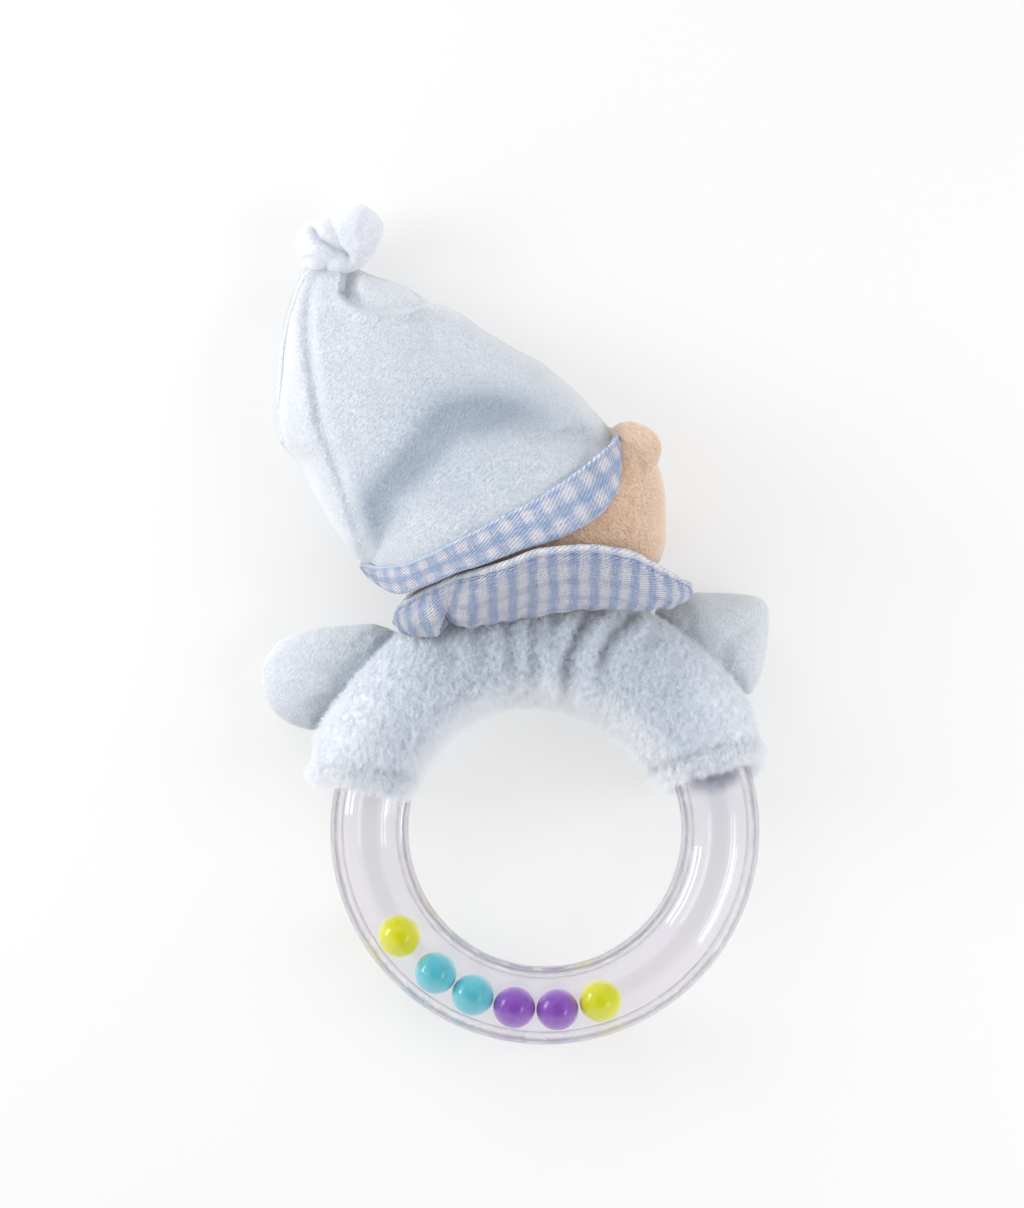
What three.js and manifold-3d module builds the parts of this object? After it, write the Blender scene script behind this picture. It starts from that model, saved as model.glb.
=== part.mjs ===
// Plush bear ring rattle: a hollow clear ring with six loose beads inside, held by a plush bear in
// a long knotted cap. The bear's body is a soft sleeve round the upper part of the ring.
// Millimetres. The toy lies face down on z = 0: +Z up, +Y from the ring towards the cap, the ring's
// plane level. Left is -X, back is +Z and front is -Z. Pieces are placed about the ring's axis.
import * as THREE from "three";
import { mergeVertices } from "three/addons/utils/BufferGeometryUtils.js";
import Module from "manifold-3d";

const wasm = await Module();
wasm.setup();

const { degToRad, smoothstep } = THREE.MathUtils;

// ---------------------------------------------------------------- driving dimensions
const GAP = 0.3; // clearance between neighbouring pieces
const FABRIC = 1.2; // cloth of the body and the head
const TOY_SHIFT = [6.17, -43.23, 0]; // centres the toy's footprint on the origin

// hollow ring
const RING_ACROSS = 90;
const TUBE_OUT = 8.2; // outer radius of the tube
const TUBE_IN = 5.9; // radius of the bead channel
const RING_MAJOR = RING_ACROSS / 2 - TUBE_OUT; // radius of the tube's centre line
const RING_Z = 9.8; // height of the tube's centre
const RING_SEGMENTS = 36;

// sleeve round the ring; angles in degrees round the ring
const SLEEVE = {
  radius: 38, // centre of the section
  z: 10.5,
  halfWidth: 11.75,
  halfHeight: 11.3,
  power: 2.3, // superellipse exponent
  points: 16,
  start: 21, // right end
  end: 160.5, // left end
};

const FACE_X = -2.5; // middle of the face
const HEAD = {
  centre: [FACE_X, 67.6, 20.6],
  radii: [27, 19.9, 16.4],
  power: 2.6,
  around: 20,
  rings: 12,
};

// ---------------------------------------------------------------- finishes
const FINISH = {
  clear: { color: 0xf2f4f8, roughness: 0.12 },
  yellowBead: { color: 0xd7e02a, roughness: 0.18 },
  tealBead: { color: 0x62bcc6, roughness: 0.18 },
  purpleBead: { color: 0x8a58b4, roughness: 0.18 },
  bodyBlue: { color: 0xd6e4f0, roughness: 0.95 },
  capBlue: { color: 0xd6e4f0, roughness: 0.9 },
  cuffWhite: { color: 0xe6eef5, roughness: 0.95 },
  plushWhite: { color: 0xe6eef5, roughness: 0.9 },
  gingham: { color: 0xa9bbdc, roughness: 0.85 },
  beige: { color: 0xe0c2a8, roughness: 0.92 },
  muzzle: { color: 0xead3bd, roughness: 0.92 },
  nose: { color: 0x5a4038, roughness: 0.6 },
  thread: { color: 0x5a4038, roughness: 0.8 },
  eye: { color: 0x2c2622, roughness: 0.35 },
  wadding: { color: 0xf5f5f2, roughness: 1 },
};

// ---------------------------------------------------------------- solids and meshes
const toSolid = (geometry) => {
  const bare = geometry.clone();
  for (const name of ["normal", "uv"]) {
    if (bare.getAttribute(name)) bare.deleteAttribute(name);
  }
  const merged = mergeVertices(bare, 1e-4);
  const triangles = new Uint32Array(merged.index.array);
  const build = () =>
    new wasm.Manifold(
      new wasm.Mesh({
        numProp: 3,
        vertProperties: new Float32Array(merged.getAttribute("position").array),
        triVerts: triangles,
      }),
    );
  const solid = build();
  if (solid.volume() >= 0) return solid;
  // the faces point inwards, so every triangle is turned over
  for (let i = 0; i < triangles.length; i += 3) {
    [triangles[i + 1], triangles[i + 2]] = [triangles[i + 2], triangles[i + 1]];
  }
  return build();
};

const toGeometry = (solid) => {
  const { vertProperties, triVerts } = solid.getMesh();
  const geometry = new THREE.BufferGeometry();
  const positions = new THREE.BufferAttribute(new Float32Array(vertProperties), 3);
  geometry.setAttribute("position", positions);
  geometry.setIndex(new THREE.BufferAttribute(new Uint32Array(triVerts), 1));
  geometry.computeVertexNormals();
  return geometry;
};

const toy = new THREE.Group();
toy.position.set(...TOY_SHIFT);

const addGeometry = (name, geometry, finish) => {
  const material = new THREE.MeshStandardMaterial({ ...finish, metalness: 0 });
  const mesh = new THREE.Mesh(geometry, material);
  mesh.name = name;
  toy.add(mesh);
  return mesh;
};
const add = (name, solid, finish) => addGeometry(name, toGeometry(solid), finish);

// ---------------------------------------------------------------- shape helpers
// moves every vertex to where `map` sends it
const reshape = (geometry, map) => {
  const positions = geometry.getAttribute("position");
  for (let i = 0; i < positions.count; i++) {
    const vertex = new THREE.Vector3().fromBufferAttribute(positions, i);
    positions.setXYZ(i, ...map(vertex));
  }
};

const signedPower = (value, exponent) => Math.sign(value) * Math.abs(value) ** exponent;

// box between two opposite corners
const box = ([x0, y0, z0], [x1, y1, z1]) => {
  const geometry = new THREE.BoxGeometry(x1 - x0, y1 - y0, z1 - z0);
  geometry.translate((x0 + x1) / 2, (y0 + y1) / 2, (z0 + z1) / 2);
  return toSolid(geometry);
};
// everything above or below a level
const above = (z) => box([-100, -100, z], [100, 150, 90]);
const below = (z) => box([-100, -100, -60], [100, 150, z]);

// closed profile of [radius, z] points turned about the Z axis
const turned = (points) => {
  const profile = [...points, points[0]].map(([r, z]) => new THREE.Vector2(r, z));
  const geometry = new THREE.LatheGeometry(profile, RING_SEGMENTS);
  geometry.rotateX(Math.PI / 2);
  return toSolid(geometry);
};

// wedge about the ring's axis between two angles in degrees, longer than the toy is wide
const sector = (from, to) => {
  const radius = 90;
  const steps = Math.max(2, Math.ceil((to - from) / 30));
  const points = [new THREE.Vector2(0, 0)];
  for (let i = 0; i <= steps; i++) {
    const angle = degToRad(from + ((to - from) * i) / steps);
    points.push(new THREE.Vector2(radius * Math.cos(angle), radius * Math.sin(angle)));
  }
  const geometry = new THREE.ExtrudeGeometry(new THREE.Shape(points), {
    depth: 80,
    bevelEnabled: false,
  });
  geometry.translate(0, 0, -30);
  return toSolid(geometry);
};

// superellipsoid, grown by `grow` on every side; power 2 is a plain ellipsoid, turn is in radians
const blob = ({ centre, radii, power = 2, around = 14, rings = 8, turn = 0 }, grow = 0) => {
  const geometry = new THREE.SphereGeometry(1, around, rings);
  geometry.rotateX(Math.PI / 2);
  reshape(geometry, (v) => {
    if (power !== 2) {
      const sum = Math.abs(v.x) ** power + Math.abs(v.y) ** power + Math.abs(v.z) ** power;
      v.multiplyScalar(sum ** (-1 / power));
    }
    return [v.x * (radii[0] + grow), v.y * (radii[1] + grow), v.z * (radii[2] + grow)];
  });
  geometry.rotateZ(turn);
  geometry.translate(...centre);
  return toSolid(geometry);
};

// distance from the centre to the closed outline along the direction `angle`
const outlineReach = (outline, [centreX, centreY], angle) => {
  const dirX = Math.cos(angle);
  const dirY = Math.sin(angle);
  let farthest = 0;
  outline.forEach(([startX, startY], i) => {
    const [endX, endY] = outline[(i + 1) % outline.length];
    const edgeX = endX - startX;
    const edgeY = endY - startY;
    const toStartX = startX - centreX;
    const toStartY = startY - centreY;
    const det = edgeX * dirY - dirX * edgeY;
    if (Math.abs(det) < 1e-9) return; // edge parallel to the ray
    const distance = (edgeX * toStartY - toStartX * edgeY) / det;
    const alongEdge = (dirX * toStartY - dirY * toStartX) / det;
    if (distance > 0 && alongEdge >= -1e-9 && alongEdge <= 1 + 1e-9) {
      farthest = Math.max(farthest, distance);
    }
  });
  return farthest;
};

// Two-panel stuffed form over a closed outline. mid(x, y) is the height of its middle surface, up
// and down its half thicknesses; a smaller edge exponent makes a fuller rim.
const pillow = ({ outline, centre, mid, up, down, around, rings, edge, spin = 0 }, grow = 0) => {
  const geometry = new THREE.SphereGeometry(1, around, rings);
  geometry.rotateX(Math.PI / 2);
  geometry.rotateZ(spin);
  reshape(geometry, (v) => {
    const angle = Math.atan2(v.y, v.x);
    const fraction = Math.min(1, Math.hypot(v.x, v.y));
    const reach = outlineReach(outline, centre, angle) + grow;
    const x = centre[0] + fraction * reach * Math.cos(angle);
    const y = centre[1] + fraction * reach * Math.sin(angle);
    const thickness = (v.z >= 0 ? up(x, y) : down(x, y)) + grow;
    return [x, y, mid(x, y) + thickness * signedPower(v.z, edge)];
  });
  return toSolid(geometry);
};

// ---------------------------------------------------------------- ring shells
// two half shells with a gap at the level plane, the lower one's tongues in the upper one's grooves
const JOINT_HALF_GAP = 0.1;
const TONGUE = { centre: 7.05, halfWidth: 0.35, height: 0.7 };
const GROOVE = { halfWidth: 0.6, depth: 1.0 };

// vertices, between two angles, of a twelve-sided section whose flats touch the given radius
const tubeArc = (radius, from, to) => {
  const cornerRadius = radius / Math.cos(Math.PI / 12);
  const count = Math.round(Math.abs(to - from) / 30) + 1;
  return Array.from({ length: count }, (_, i) => {
    const angle = degToRad(from + 30 * i * Math.sign(to - from));
    return [cornerRadius * Math.cos(angle), cornerRadius * Math.sin(angle)];
  });
};
// square step from base to tip and back; a negative half width runs it inwards
const squareStep = (centre, halfWidth, base, tip) => [
  [centre - halfWidth, base],
  [centre - halfWidth, tip],
  [centre + halfWidth, tip],
  [centre + halfWidth, base],
];
// section points about the tube's centre, turned into a ring
const turnedTube = (points) => turned(points.map(([r, z]) => [RING_MAJOR + r, RING_Z + z]));

const upperSection = [
  [TUBE_OUT, JOINT_HALF_GAP],
  ...tubeArc(TUBE_OUT, 15, 165),
  [-TUBE_OUT, JOINT_HALF_GAP],
  ...squareStep(-TONGUE.centre, GROOVE.halfWidth, JOINT_HALF_GAP, GROOVE.depth),
  [-TUBE_IN, JOINT_HALF_GAP],
  ...tubeArc(TUBE_IN, 165, 15),
  [TUBE_IN, JOINT_HALF_GAP],
  ...squareStep(TONGUE.centre, GROOVE.halfWidth, JOINT_HALF_GAP, GROOVE.depth),
];
const lowerSection = [
  [TUBE_OUT, -JOINT_HALF_GAP],
  ...squareStep(TONGUE.centre, -TONGUE.halfWidth, -JOINT_HALF_GAP, TONGUE.height),
  [TUBE_IN, -JOINT_HALF_GAP],
  ...tubeArc(TUBE_IN, -15, -165),
  [-TUBE_IN, -JOINT_HALF_GAP],
  ...squareStep(-TONGUE.centre, -TONGUE.halfWidth, -JOINT_HALF_GAP, TONGUE.height),
  [-TUBE_OUT, -JOINT_HALF_GAP],
  ...tubeArc(TUBE_OUT, -165, -15),
];
add("ring_shell_upper", turnedTube(upperSection), FINISH.clear);
add("ring_shell_lower", turnedTube(lowerSection), FINISH.clear);

// the ring's full tube grown by a clearance, for cutting other pieces
const ringSpace = (clearance) => turnedTube(tubeArc(TUBE_OUT + clearance, 15, 345));

// ---------------------------------------------------------------- beads
const BEAD = { radius: 4.4, orbit: 37.9, z: RING_Z - 0.65 };
// name, degrees round the ring, finish
const BEADS = [
  ["bead_yellow_left", 216.2, FINISH.yellowBead],
  ["bead_teal_left", 232.6, FINISH.tealBead],
  ["bead_teal_right", 246.4, FINISH.tealBead],
  ["bead_purple_left", 260.2, FINISH.purpleBead],
  ["bead_purple_right", 274.0, FINISH.purpleBead],
  ["bead_yellow_right", 288.0, FINISH.yellowBead],
];
for (const [name, degrees, finish] of BEADS) {
  const angle = degToRad(degrees);
  const sphere = new THREE.SphereGeometry(BEAD.radius, 12, 8);
  sphere.rotateX(Math.PI / 2);
  const mesh = addGeometry(name, sphere, finish);
  mesh.position.set(BEAD.orbit * Math.cos(angle), BEAD.orbit * Math.sin(angle), BEAD.z);
}

// ---------------------------------------------------------------- body sleeve
const BODY_FLOOR = 1.1; // cloth thickness under the sleeve
const PADDING = { floor: 2.2, innerRadius: 36, endInset: 2 }; // endInset in degrees
const CUFF = { width: 3, gap: 0.4 }; // degrees, both measured from the sleeve's end

// full ring with the sleeve's superellipse section, grown in half width and half height
const sleeveRing = (growWidth, growHeight = growWidth) =>
  turned(
    Array.from({ length: SLEEVE.points }, (_, i) => {
      const angle = (2 * Math.PI * (i + 0.5)) / SLEEVE.points;
      const reach = (value) => signedPower(value, 2 / SLEEVE.power);
      return [
        SLEEVE.radius + (SLEEVE.halfWidth + growWidth) * reach(Math.cos(angle)),
        SLEEVE.z + (SLEEVE.halfHeight + growHeight) * reach(Math.sin(angle)),
      ];
    }),
  );

const bodyHollow = sleeveRing(-FABRIC).intersect(above(BODY_FLOOR)).add(ringSpace(0.5));
const bodySkin = sleeveRing(0)
  .intersect(above(0))
  .subtract(bodyHollow)
  .intersect(sector(SLEEVE.start, SLEEVE.end));
add("body_back_panel", bodySkin.intersect(above(RING_Z + GAP / 2)), FINISH.bodyBlue);
add("body_front_panel", bodySkin.intersect(below(RING_Z - GAP / 2)), FINISH.bodyBlue);

// the padding keeps to the outer side of the ring
const paddingZone = turned([
  [PADDING.innerRadius, 2],
  [60, 2],
  [60, 40],
  [PADDING.innerRadius, 40],
]);
const padding = sleeveRing(-(FABRIC + GAP))
  .intersect(above(PADDING.floor))
  .subtract(ringSpace(0.45))
  .intersect(sector(SLEEVE.start + PADDING.endInset, SLEEVE.end - PADDING.endInset))
  .intersect(paddingZone);
add("body_padding", padding, FINISH.wadding);

const cuff = (from, to) =>
  sleeveRing(-0.4, -0.2).intersect(above(0)).subtract(ringSpace(0.6)).intersect(sector(from, to));
const { start, end } = SLEEVE;
add("cuff_hem_right", cuff(start - CUFF.width, start - CUFF.gap), FINISH.cuffWhite);
add("cuff_hem_left", cuff(end + CUFF.gap, end + CUFF.width), FINISH.cuffWhite);

// ---------------------------------------------------------------- arms
const ARM = { z: 7, halfThickness: 6.4, cloth: 1.1, stuffingInset: 1.45 };
// outlines of [x, y] points
const ARMS = {
  arm_left: {
    outline: [
      [-33.4, 42.2], [-43, 42.6], [-51.4, 41.5], [-56.6, 38.8], [-59.4, 33.6], [-58.7, 29.4],
      [-56.6, 24.8], [-53.5, 22.7], [-49.3, 21.4], [-44.0, 22], [-38, 29], [-31.5, 37],
    ],
    centre: [-46.5, 33],
  },
  arm_right: {
    outline: [
      [43.0, 28.6], [45.1, 31.5], [46.4, 37.8], [46.8, 43.0], [45.4, 47.2], [40.9, 48.9],
      [32.5, 49.3], [27.3, 48.2], [22.5, 46.5], [24, 41], [31, 33], [38, 27.5],
    ],
    centre: [36.5, 40.5],
  },
};
const armKeepOut = sleeveRing(0.5);
for (const [name, { outline, centre }] of Object.entries(ARMS)) {
  const form = {
    outline,
    centre,
    mid: () => ARM.z,
    up: () => ARM.halfThickness,
    down: () => ARM.halfThickness,
    around: 18,
    rings: 7,
    edge: 0.8,
  };
  // the cover is open towards the sleeve, and the stuffing stands in that opening
  const cover = pillow(form).subtract(armKeepOut).subtract(pillow(form, -ARM.cloth));
  const stuffing = pillow(form, -ARM.stuffingInset).subtract(armKeepOut);
  add(`${name}_cover`, cover, FINISH.plushWhite);
  add(`${name}_stuffing`, stuffing, FINISH.wadding);
}

// ---------------------------------------------------------------- head
const headForm = (grow) => blob(HEAD, grow);
const neckSpace = sleeveRing(1.8, 1.0); // the head is cut back clear of the sleeve
const headKeepOut = headForm(GAP);

// round hole along Y through the cover at the neck
const neckHole = () => {
  const geometry = new THREE.CylinderGeometry(9, 9, 14, 16);
  geometry.translate(-1.5, 49, 18);
  return toSolid(geometry);
};
const headCover = headForm(0).subtract(neckSpace).subtract(headForm(-FABRIC)).subtract(neckHole());
add("head_cover", headCover, FINISH.beige);
add("head_stuffing", headForm(-FABRIC - GAP).subtract(neckSpace), FINISH.wadding);

// ---------------------------------------------------------------- face
const MUZZLE = { centre: [FACE_X, 61.5, 5.9], radii: [9, 7.2, 4.9] };
const NOSE = { centre: [FACE_X, 64.2, 1.9], radii: [2.7, 2.0, 1.5] };
const EYE = { offset: 9.1, y: 66.5, z: 4.7, radii: [1.5, 1.8, 1.3] };
const THREAD_RADIUS = 0.28;
// x from the middle of the face, y, z
const MOUTH = [
  [-2.9, 58.9, 0.95],
  [-1.5, 57.9, 0.85],
  [0, 58.9, 0.62],
  [1.5, 57.9, 0.85],
  [2.9, 58.9, 0.95],
];

const mouthStitch = () => {
  const points = MOUTH.map(([x, y, z]) => new THREE.Vector3(FACE_X + x, y, z));
  const section = new THREE.Shape();
  section.absarc(0, 0, THREAD_RADIUS, 0, Math.PI * 2, false);
  return toSolid(
    new THREE.ExtrudeGeometry(section, {
      steps: 12,
      curveSegments: 3,
      bevelEnabled: false,
      extrudePath: new THREE.CatmullRomCurve3(points),
    }),
  );
};
add("muzzle", blob(MUZZLE).subtract(headKeepOut), FINISH.muzzle);
add("nose", blob(NOSE).subtract(blob(MUZZLE, 0.25)), FINISH.nose);
add("mouth_stitch", mouthStitch(), FINISH.thread);
for (const [name, side] of [["eye_left", -1], ["eye_right", 1]]) {
  const centre = [FACE_X + side * EYE.offset, EYE.y, EYE.z];
  const eye = blob({ centre, radii: EYE.radii, around: 12 });
  add(name, eye.subtract(headKeepOut), FINISH.eye);
}

// ---------------------------------------------------------------- ears
const EAR_RIGHT = { centre: [18.6, 79, 21], radii: [6.2, 5.8, 3.6], turn: -0.5 };
const EAR_LEFT = { centre: [-27, 82, 17], radii: [5.6, 5.4, 3.2], turn: 0.5 }; // under the cap
add("ear_right", blob(EAR_RIGHT).subtract(headKeepOut), FINISH.beige);
add("ear_left", blob(EAR_LEFT).subtract(headKeepOut), FINISH.beige);

// ---------------------------------------------------------------- cap
const CAP_FABRIC = 1.3;
const CAP_OVER_HEAD = 2.4; // outside of the cap beyond the head
const CAP_SEAM_Z = 14.2; // level seam between the back and front panels
const BAND = { width: 7.3, proud: 0.35 };
// the rim lies in the plane where normal . point = at; `right` is the cap's right-hand limit in x
// and rightSlope is how far that limit moves left per millimetre of inset
const RIM = { normal: [-0.42, 0.907, 0.4], at: 69.9, right: 16.3, rightSlope: 0.55 };

// outline of [x, y] points, starting at the tip
const CAP_OUTLINE = [
  [-44.6, 117.9], [-50.4, 114.8], [-52.9, 111.2], [-54.5, 107], [-55.4, 101.8], [-56.2, 91.3],
  [-56.4, 87.7], [-55.0, 80.8], [-51.0, 76.6], [-46.8, 67.6], [-40.9, 58.3], [-36.9, 52.6],
  [-31.5, 50.2], [-20, 53], [-8, 57], [4, 61.5], [13, 68.5], [16.2, 75.5], [15.7, 79.3],
  [12.2, 85], [7.3, 91.1], [-1, 98.2], [-9.4, 102.8], [-17.4, 108.3], [-27.3, 112.9],
  [-38.8, 115.2],
];
const CAP_CENTRE = [-22, 84];
const CAP_TAPER_END = 117;

// value that eases down by `drop` between y = from and the end of the taper
const taper = (full, drop, from) => (x, y) => full - drop * smoothstep(y, from, CAP_TAPER_END);
const CAP = {
  outline: CAP_OUTLINE,
  centre: CAP_CENTRE,
  mid: taper(12.6, 4.2, 85),
  up: taper(13.5, 7.0, 88),
  down: taper(11.6, 5.5, 88),
  around: 30,
  rings: 9,
  edge: 0.62,
  // one row of vertices runs to the tip
  spin: Math.atan2(CAP_OUTLINE[0][1] - CAP_CENTRE[1], CAP_OUTLINE[0][0] - CAP_CENTRE[0]),
};
const capForm = (grow) => pillow(CAP, grow).add(headForm(CAP_OVER_HEAD + grow));

// region on the cap's side of the rim, starting `inset` beyond it
const rimRegion = (inset) => {
  const normal = new THREE.Vector3(...RIM.normal);
  const distance = RIM.at / normal.length() + inset;
  normal.normalize();
  const up = new THREE.Vector3(0, 0, 1);
  const slab = new THREE.BoxGeometry(400, 400, 200);
  slab.translate(0, 0, 100);
  slab.applyQuaternion(new THREE.Quaternion().setFromUnitVectors(up, normal));
  slab.translate(normal.x * distance, normal.y * distance, normal.z * distance);
  const right = RIM.right - inset * RIM.rightSlope;
  return toSolid(slab).intersect(box([-100, 0, -10], [right, 150, 80]));
};

// cap cloth, grown outwards, clear of the right ear and the head
const capCloth = (grow) =>
  capForm(grow)
    .subtract(capForm(-CAP_FABRIC))
    .subtract(blob(EAR_RIGHT, 0.5))
    .subtract(headForm(0.5));
const capPanels = capCloth(0).intersect(rimRegion(BAND.width + GAP / 2));
const capBand = capCloth(BAND.proud)
  .intersect(rimRegion(0))
  .subtract(rimRegion(BAND.width - GAP / 2));
add("hat_back_panel", capPanels.intersect(above(CAP_SEAM_Z + GAP / 2)), FINISH.capBlue);
add("hat_front_panel", capPanels.intersect(below(CAP_SEAM_Z - GAP / 2)), FINISH.capBlue);
add("hat_band", capBand, FINISH.gingham);

// knot at the cap's tip and the loose end beside it
const KNOT = { centre: [-47.0, 123.6, 8.4], radii: [5.2, 5.4, 5.6] };
const LOOSE_END = { centre: [-39.6, 124.9, 8.6], radii: [7.0, 4.5, 4.6], turn: 1.15 };
add("hat_knot", blob(KNOT), FINISH.plushWhite);
add("hat_tip_end", blob(LOOSE_END).subtract(blob(KNOT, GAP)), FINISH.plushWhite);

// ---------------------------------------------------------------- collar
// A strip round the neck, from its seam by the body to its free hem by the head. psi is the angle
// round the neck: 90 degrees is the back, -90 the throat. `narrow` is the share of half width lost
// at the throat; backRise and throatDrop are changes in z, backShift and throatShift in y.
const SEAM = {
  x: -0.8, y: 48.5, z: 15.6,
  halfWidth: 23, narrow: 0.1,
  backShift: -4, throatShift: 3.2,
  backRise: 12.6, backPower: 0.9, throatDrop: 11.4,
};
const HEM = {
  z: 17.2,
  halfWidth: 29, narrow: 0.2,
  throatY: 53,
  backRise: 21.4, backPower: 0.8, throatDrop: 15.2,
};
// [x, y] of the hem over the back of the neck
const HEM_BACK = [
  [-29.5, 47.9], [-26.2, 49.3], [-19.9, 52.5], [-11.5, 54.8], [-3.1, 57.6], [5.2, 59.0],
  [17.8, 57.8], [24.1, 54.6], [27.3, 52.8], [29.5, 51],
];
const COLLAR = {
  halfThickness: 0.6,
  steps: [0, 0.35, 0.7, 1], // stations from seam to hem
  bulge: 3.4, // outward at mid strip, at the back of the neck
  leastBulge: 0.25, // share of the bulge kept at the throat
};

const hemBackY = (x) => {
  const i = HEM_BACK.findIndex(([rowX]) => x <= rowX);
  const [x0, y0] = HEM_BACK[i - 1];
  const [x1, y1] = HEM_BACK[i];
  return y0 + (y1 - y0) * ((x - x0) / (x1 - x0));
};
// how far psi is towards the back and towards the throat, each 0 to 1
const neckSides = (psi) => [Math.max(0, Math.sin(psi)), Math.max(0, -Math.sin(psi))];
const edgeX = (edge, psi, throat) => edge.halfWidth * Math.cos(psi) * (1 - edge.narrow * throat);
const edgeZ = (edge, back, throat) =>
  edge.z + edge.backRise * back ** edge.backPower - edge.throatDrop * throat;

const seamPoint = (psi) => {
  const [back, throat] = neckSides(psi);
  const y = SEAM.y + SEAM.backShift * back + SEAM.throatShift * throat;
  return new THREE.Vector3(SEAM.x + edgeX(SEAM, psi, throat), y, edgeZ(SEAM, back, throat));
};
const hemPoint = (psi) => {
  const [back, throat] = neckSides(psi);
  const x = edgeX(HEM, psi, throat);
  // towards the throat, y runs from the hem's end at that side
  const tableX = throat > 0 ? HEM.halfWidth * Math.sign(Math.cos(psi)) : x;
  const y = hemBackY(tableX) * (1 - throat) + HEM.throatY * throat;
  return new THREE.Vector3(x, y, edgeZ(HEM, back, throat));
};

const collarStrip = () => {
  // a flat band revolved about Y, then laid on the strip between the two edges
  const { halfThickness, steps } = COLLAR;
  const innerRadius = 2;
  const outerRadius = innerRadius + 1;
  const profile = [
    ...steps.map((t) => new THREE.Vector2(innerRadius + t, -halfThickness)),
    ...steps.map((t) => new THREE.Vector2(outerRadius - t, halfThickness)),
    new THREE.Vector2(innerRadius, -halfThickness),
  ];
  const strip = new THREE.LatheGeometry(profile, 36);
  reshape(strip, (v) => {
    const psi = Math.atan2(v.z, v.x);
    const t = Math.hypot(v.x, v.z) - innerRadius;
    const seam = seamPoint(psi);
    const hem = hemPoint(psi);
    const delta = 0.01;
    const along = seamPoint(psi + delta).sub(seamPoint(psi - delta));
    const normal = hem.clone().sub(seam).cross(along).normalize();
    const outward = new THREE.Vector3(Math.cos(psi), 0, Math.sin(psi));
    if (normal.dot(outward) < 0) normal.negate();
    const share = Math.max(COLLAR.leastBulge, Math.sin(psi));
    const bulge = COLLAR.bulge * 4 * t * (1 - t) * share;
    return seam.lerp(hem, t).addScaledVector(normal, v.y + bulge);
  });
  return toSolid(strip);
};
const collar = collarStrip()
  .intersect(above(0.4))
  .subtract(headForm(0.5))
  .subtract(capForm(0.7).intersect(rimRegion(-0.4)));
add("collar", collar, FINISH.gingham);

export default toy;
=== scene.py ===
"""A soft toy round a clear plastic ring, lying face down on the floor.

Its back is up (+Z), its head points to +Y, and the parts called left are towards -X. A plush
sleeve wraps the ring's +Y side and carries two arms, a checked collar, a head and a cap with a
knotted tip. Six beads run inside the ring's tube. Shapes are written in millimetres about the
ring's centre, with z = 0 on the floor.
"""
import math

import bmesh
import bpy
import numpy as np
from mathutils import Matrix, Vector, kdtree

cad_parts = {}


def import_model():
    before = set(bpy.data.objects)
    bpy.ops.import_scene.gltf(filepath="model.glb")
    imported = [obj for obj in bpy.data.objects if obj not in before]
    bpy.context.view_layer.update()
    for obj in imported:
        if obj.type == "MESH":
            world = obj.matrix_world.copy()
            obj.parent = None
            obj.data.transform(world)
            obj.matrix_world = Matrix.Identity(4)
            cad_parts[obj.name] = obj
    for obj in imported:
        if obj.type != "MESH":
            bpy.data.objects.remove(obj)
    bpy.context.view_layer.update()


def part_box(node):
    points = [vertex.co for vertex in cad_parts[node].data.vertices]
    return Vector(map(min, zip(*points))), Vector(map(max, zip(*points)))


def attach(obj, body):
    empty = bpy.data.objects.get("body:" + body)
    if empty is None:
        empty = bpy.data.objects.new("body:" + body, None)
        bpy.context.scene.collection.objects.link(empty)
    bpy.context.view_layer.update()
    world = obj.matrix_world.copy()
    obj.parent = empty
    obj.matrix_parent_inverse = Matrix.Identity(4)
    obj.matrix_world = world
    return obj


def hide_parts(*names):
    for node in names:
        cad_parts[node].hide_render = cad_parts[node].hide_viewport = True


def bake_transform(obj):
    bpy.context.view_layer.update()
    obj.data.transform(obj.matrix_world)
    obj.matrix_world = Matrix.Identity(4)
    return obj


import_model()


def detail(full, quick):
    return full


# ------------------------------------------------------------------ frame
# The CAD ring's box gives the origin and the ring's own sizes.
ring_lo, ring_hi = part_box("ring_shell_lower")
RING_CENTRE = np.array([(ring_lo.x + ring_hi.x) / 2, (ring_lo.y + ring_hi.y) / 2, 0.0])
TUBE_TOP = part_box("ring_shell_upper")[1].z * 1000.0
TUBE_R = (TUBE_TOP - ring_lo.z * 1000.0) / 2
TUBE_Z = (TUBE_TOP + ring_lo.z * 1000.0) / 2
RING_R = (ring_hi.x - ring_lo.x) / 2 * 1000.0 - TUBE_R


def world(verts):
    return np.asarray(verts, float) / 1000.0 + RING_CENTRE


def point(x, y, z):
    return tuple(world([x, y, z]))


# ------------------------------------------------------------------ numbers
LATTICE = np.random.default_rng(20240611).uniform(-1, 1, (64, 64, 64))


def noise(where, size, seed=0):
    """Smooth value noise in [-1, 1] at points, with features of the given size (mm)."""
    cell = np.asarray(where, float) / size + np.array([13.7, 5.3, 9.1]) * (seed + 1)
    corner = np.floor(cell).astype(int)
    part = cell - corner
    part = part * part * (3 - 2 * part)
    total = 0
    for step in np.ndindex(2, 2, 2):
        weight = np.where(step, part, 1 - part).prod(axis=-1)
        index = (corner + step) & 63
        total = total + weight * LATTICE[index[..., 0], index[..., 1], index[..., 2]]
    return total


def fractal(where, size, octaves, seed):
    """Octaves of noise, each half the size and strength of the one before, kept in [-1, 1]."""
    total, strength, norm = 0, 1.0, 0.0
    for k in range(octaves):
        total = total + strength * noise(where, size / 2**k, seed + 3 * k)
        norm += strength
        strength *= 0.5
    return total / norm


def smooth(start, end, value):
    """Smooth step from 0 at start to 1 at end; start may be the larger."""
    share = np.clip((np.asarray(value, float) - start) / (end - start), 0, 1)
    return share * share * (3 - 2 * share)


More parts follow.
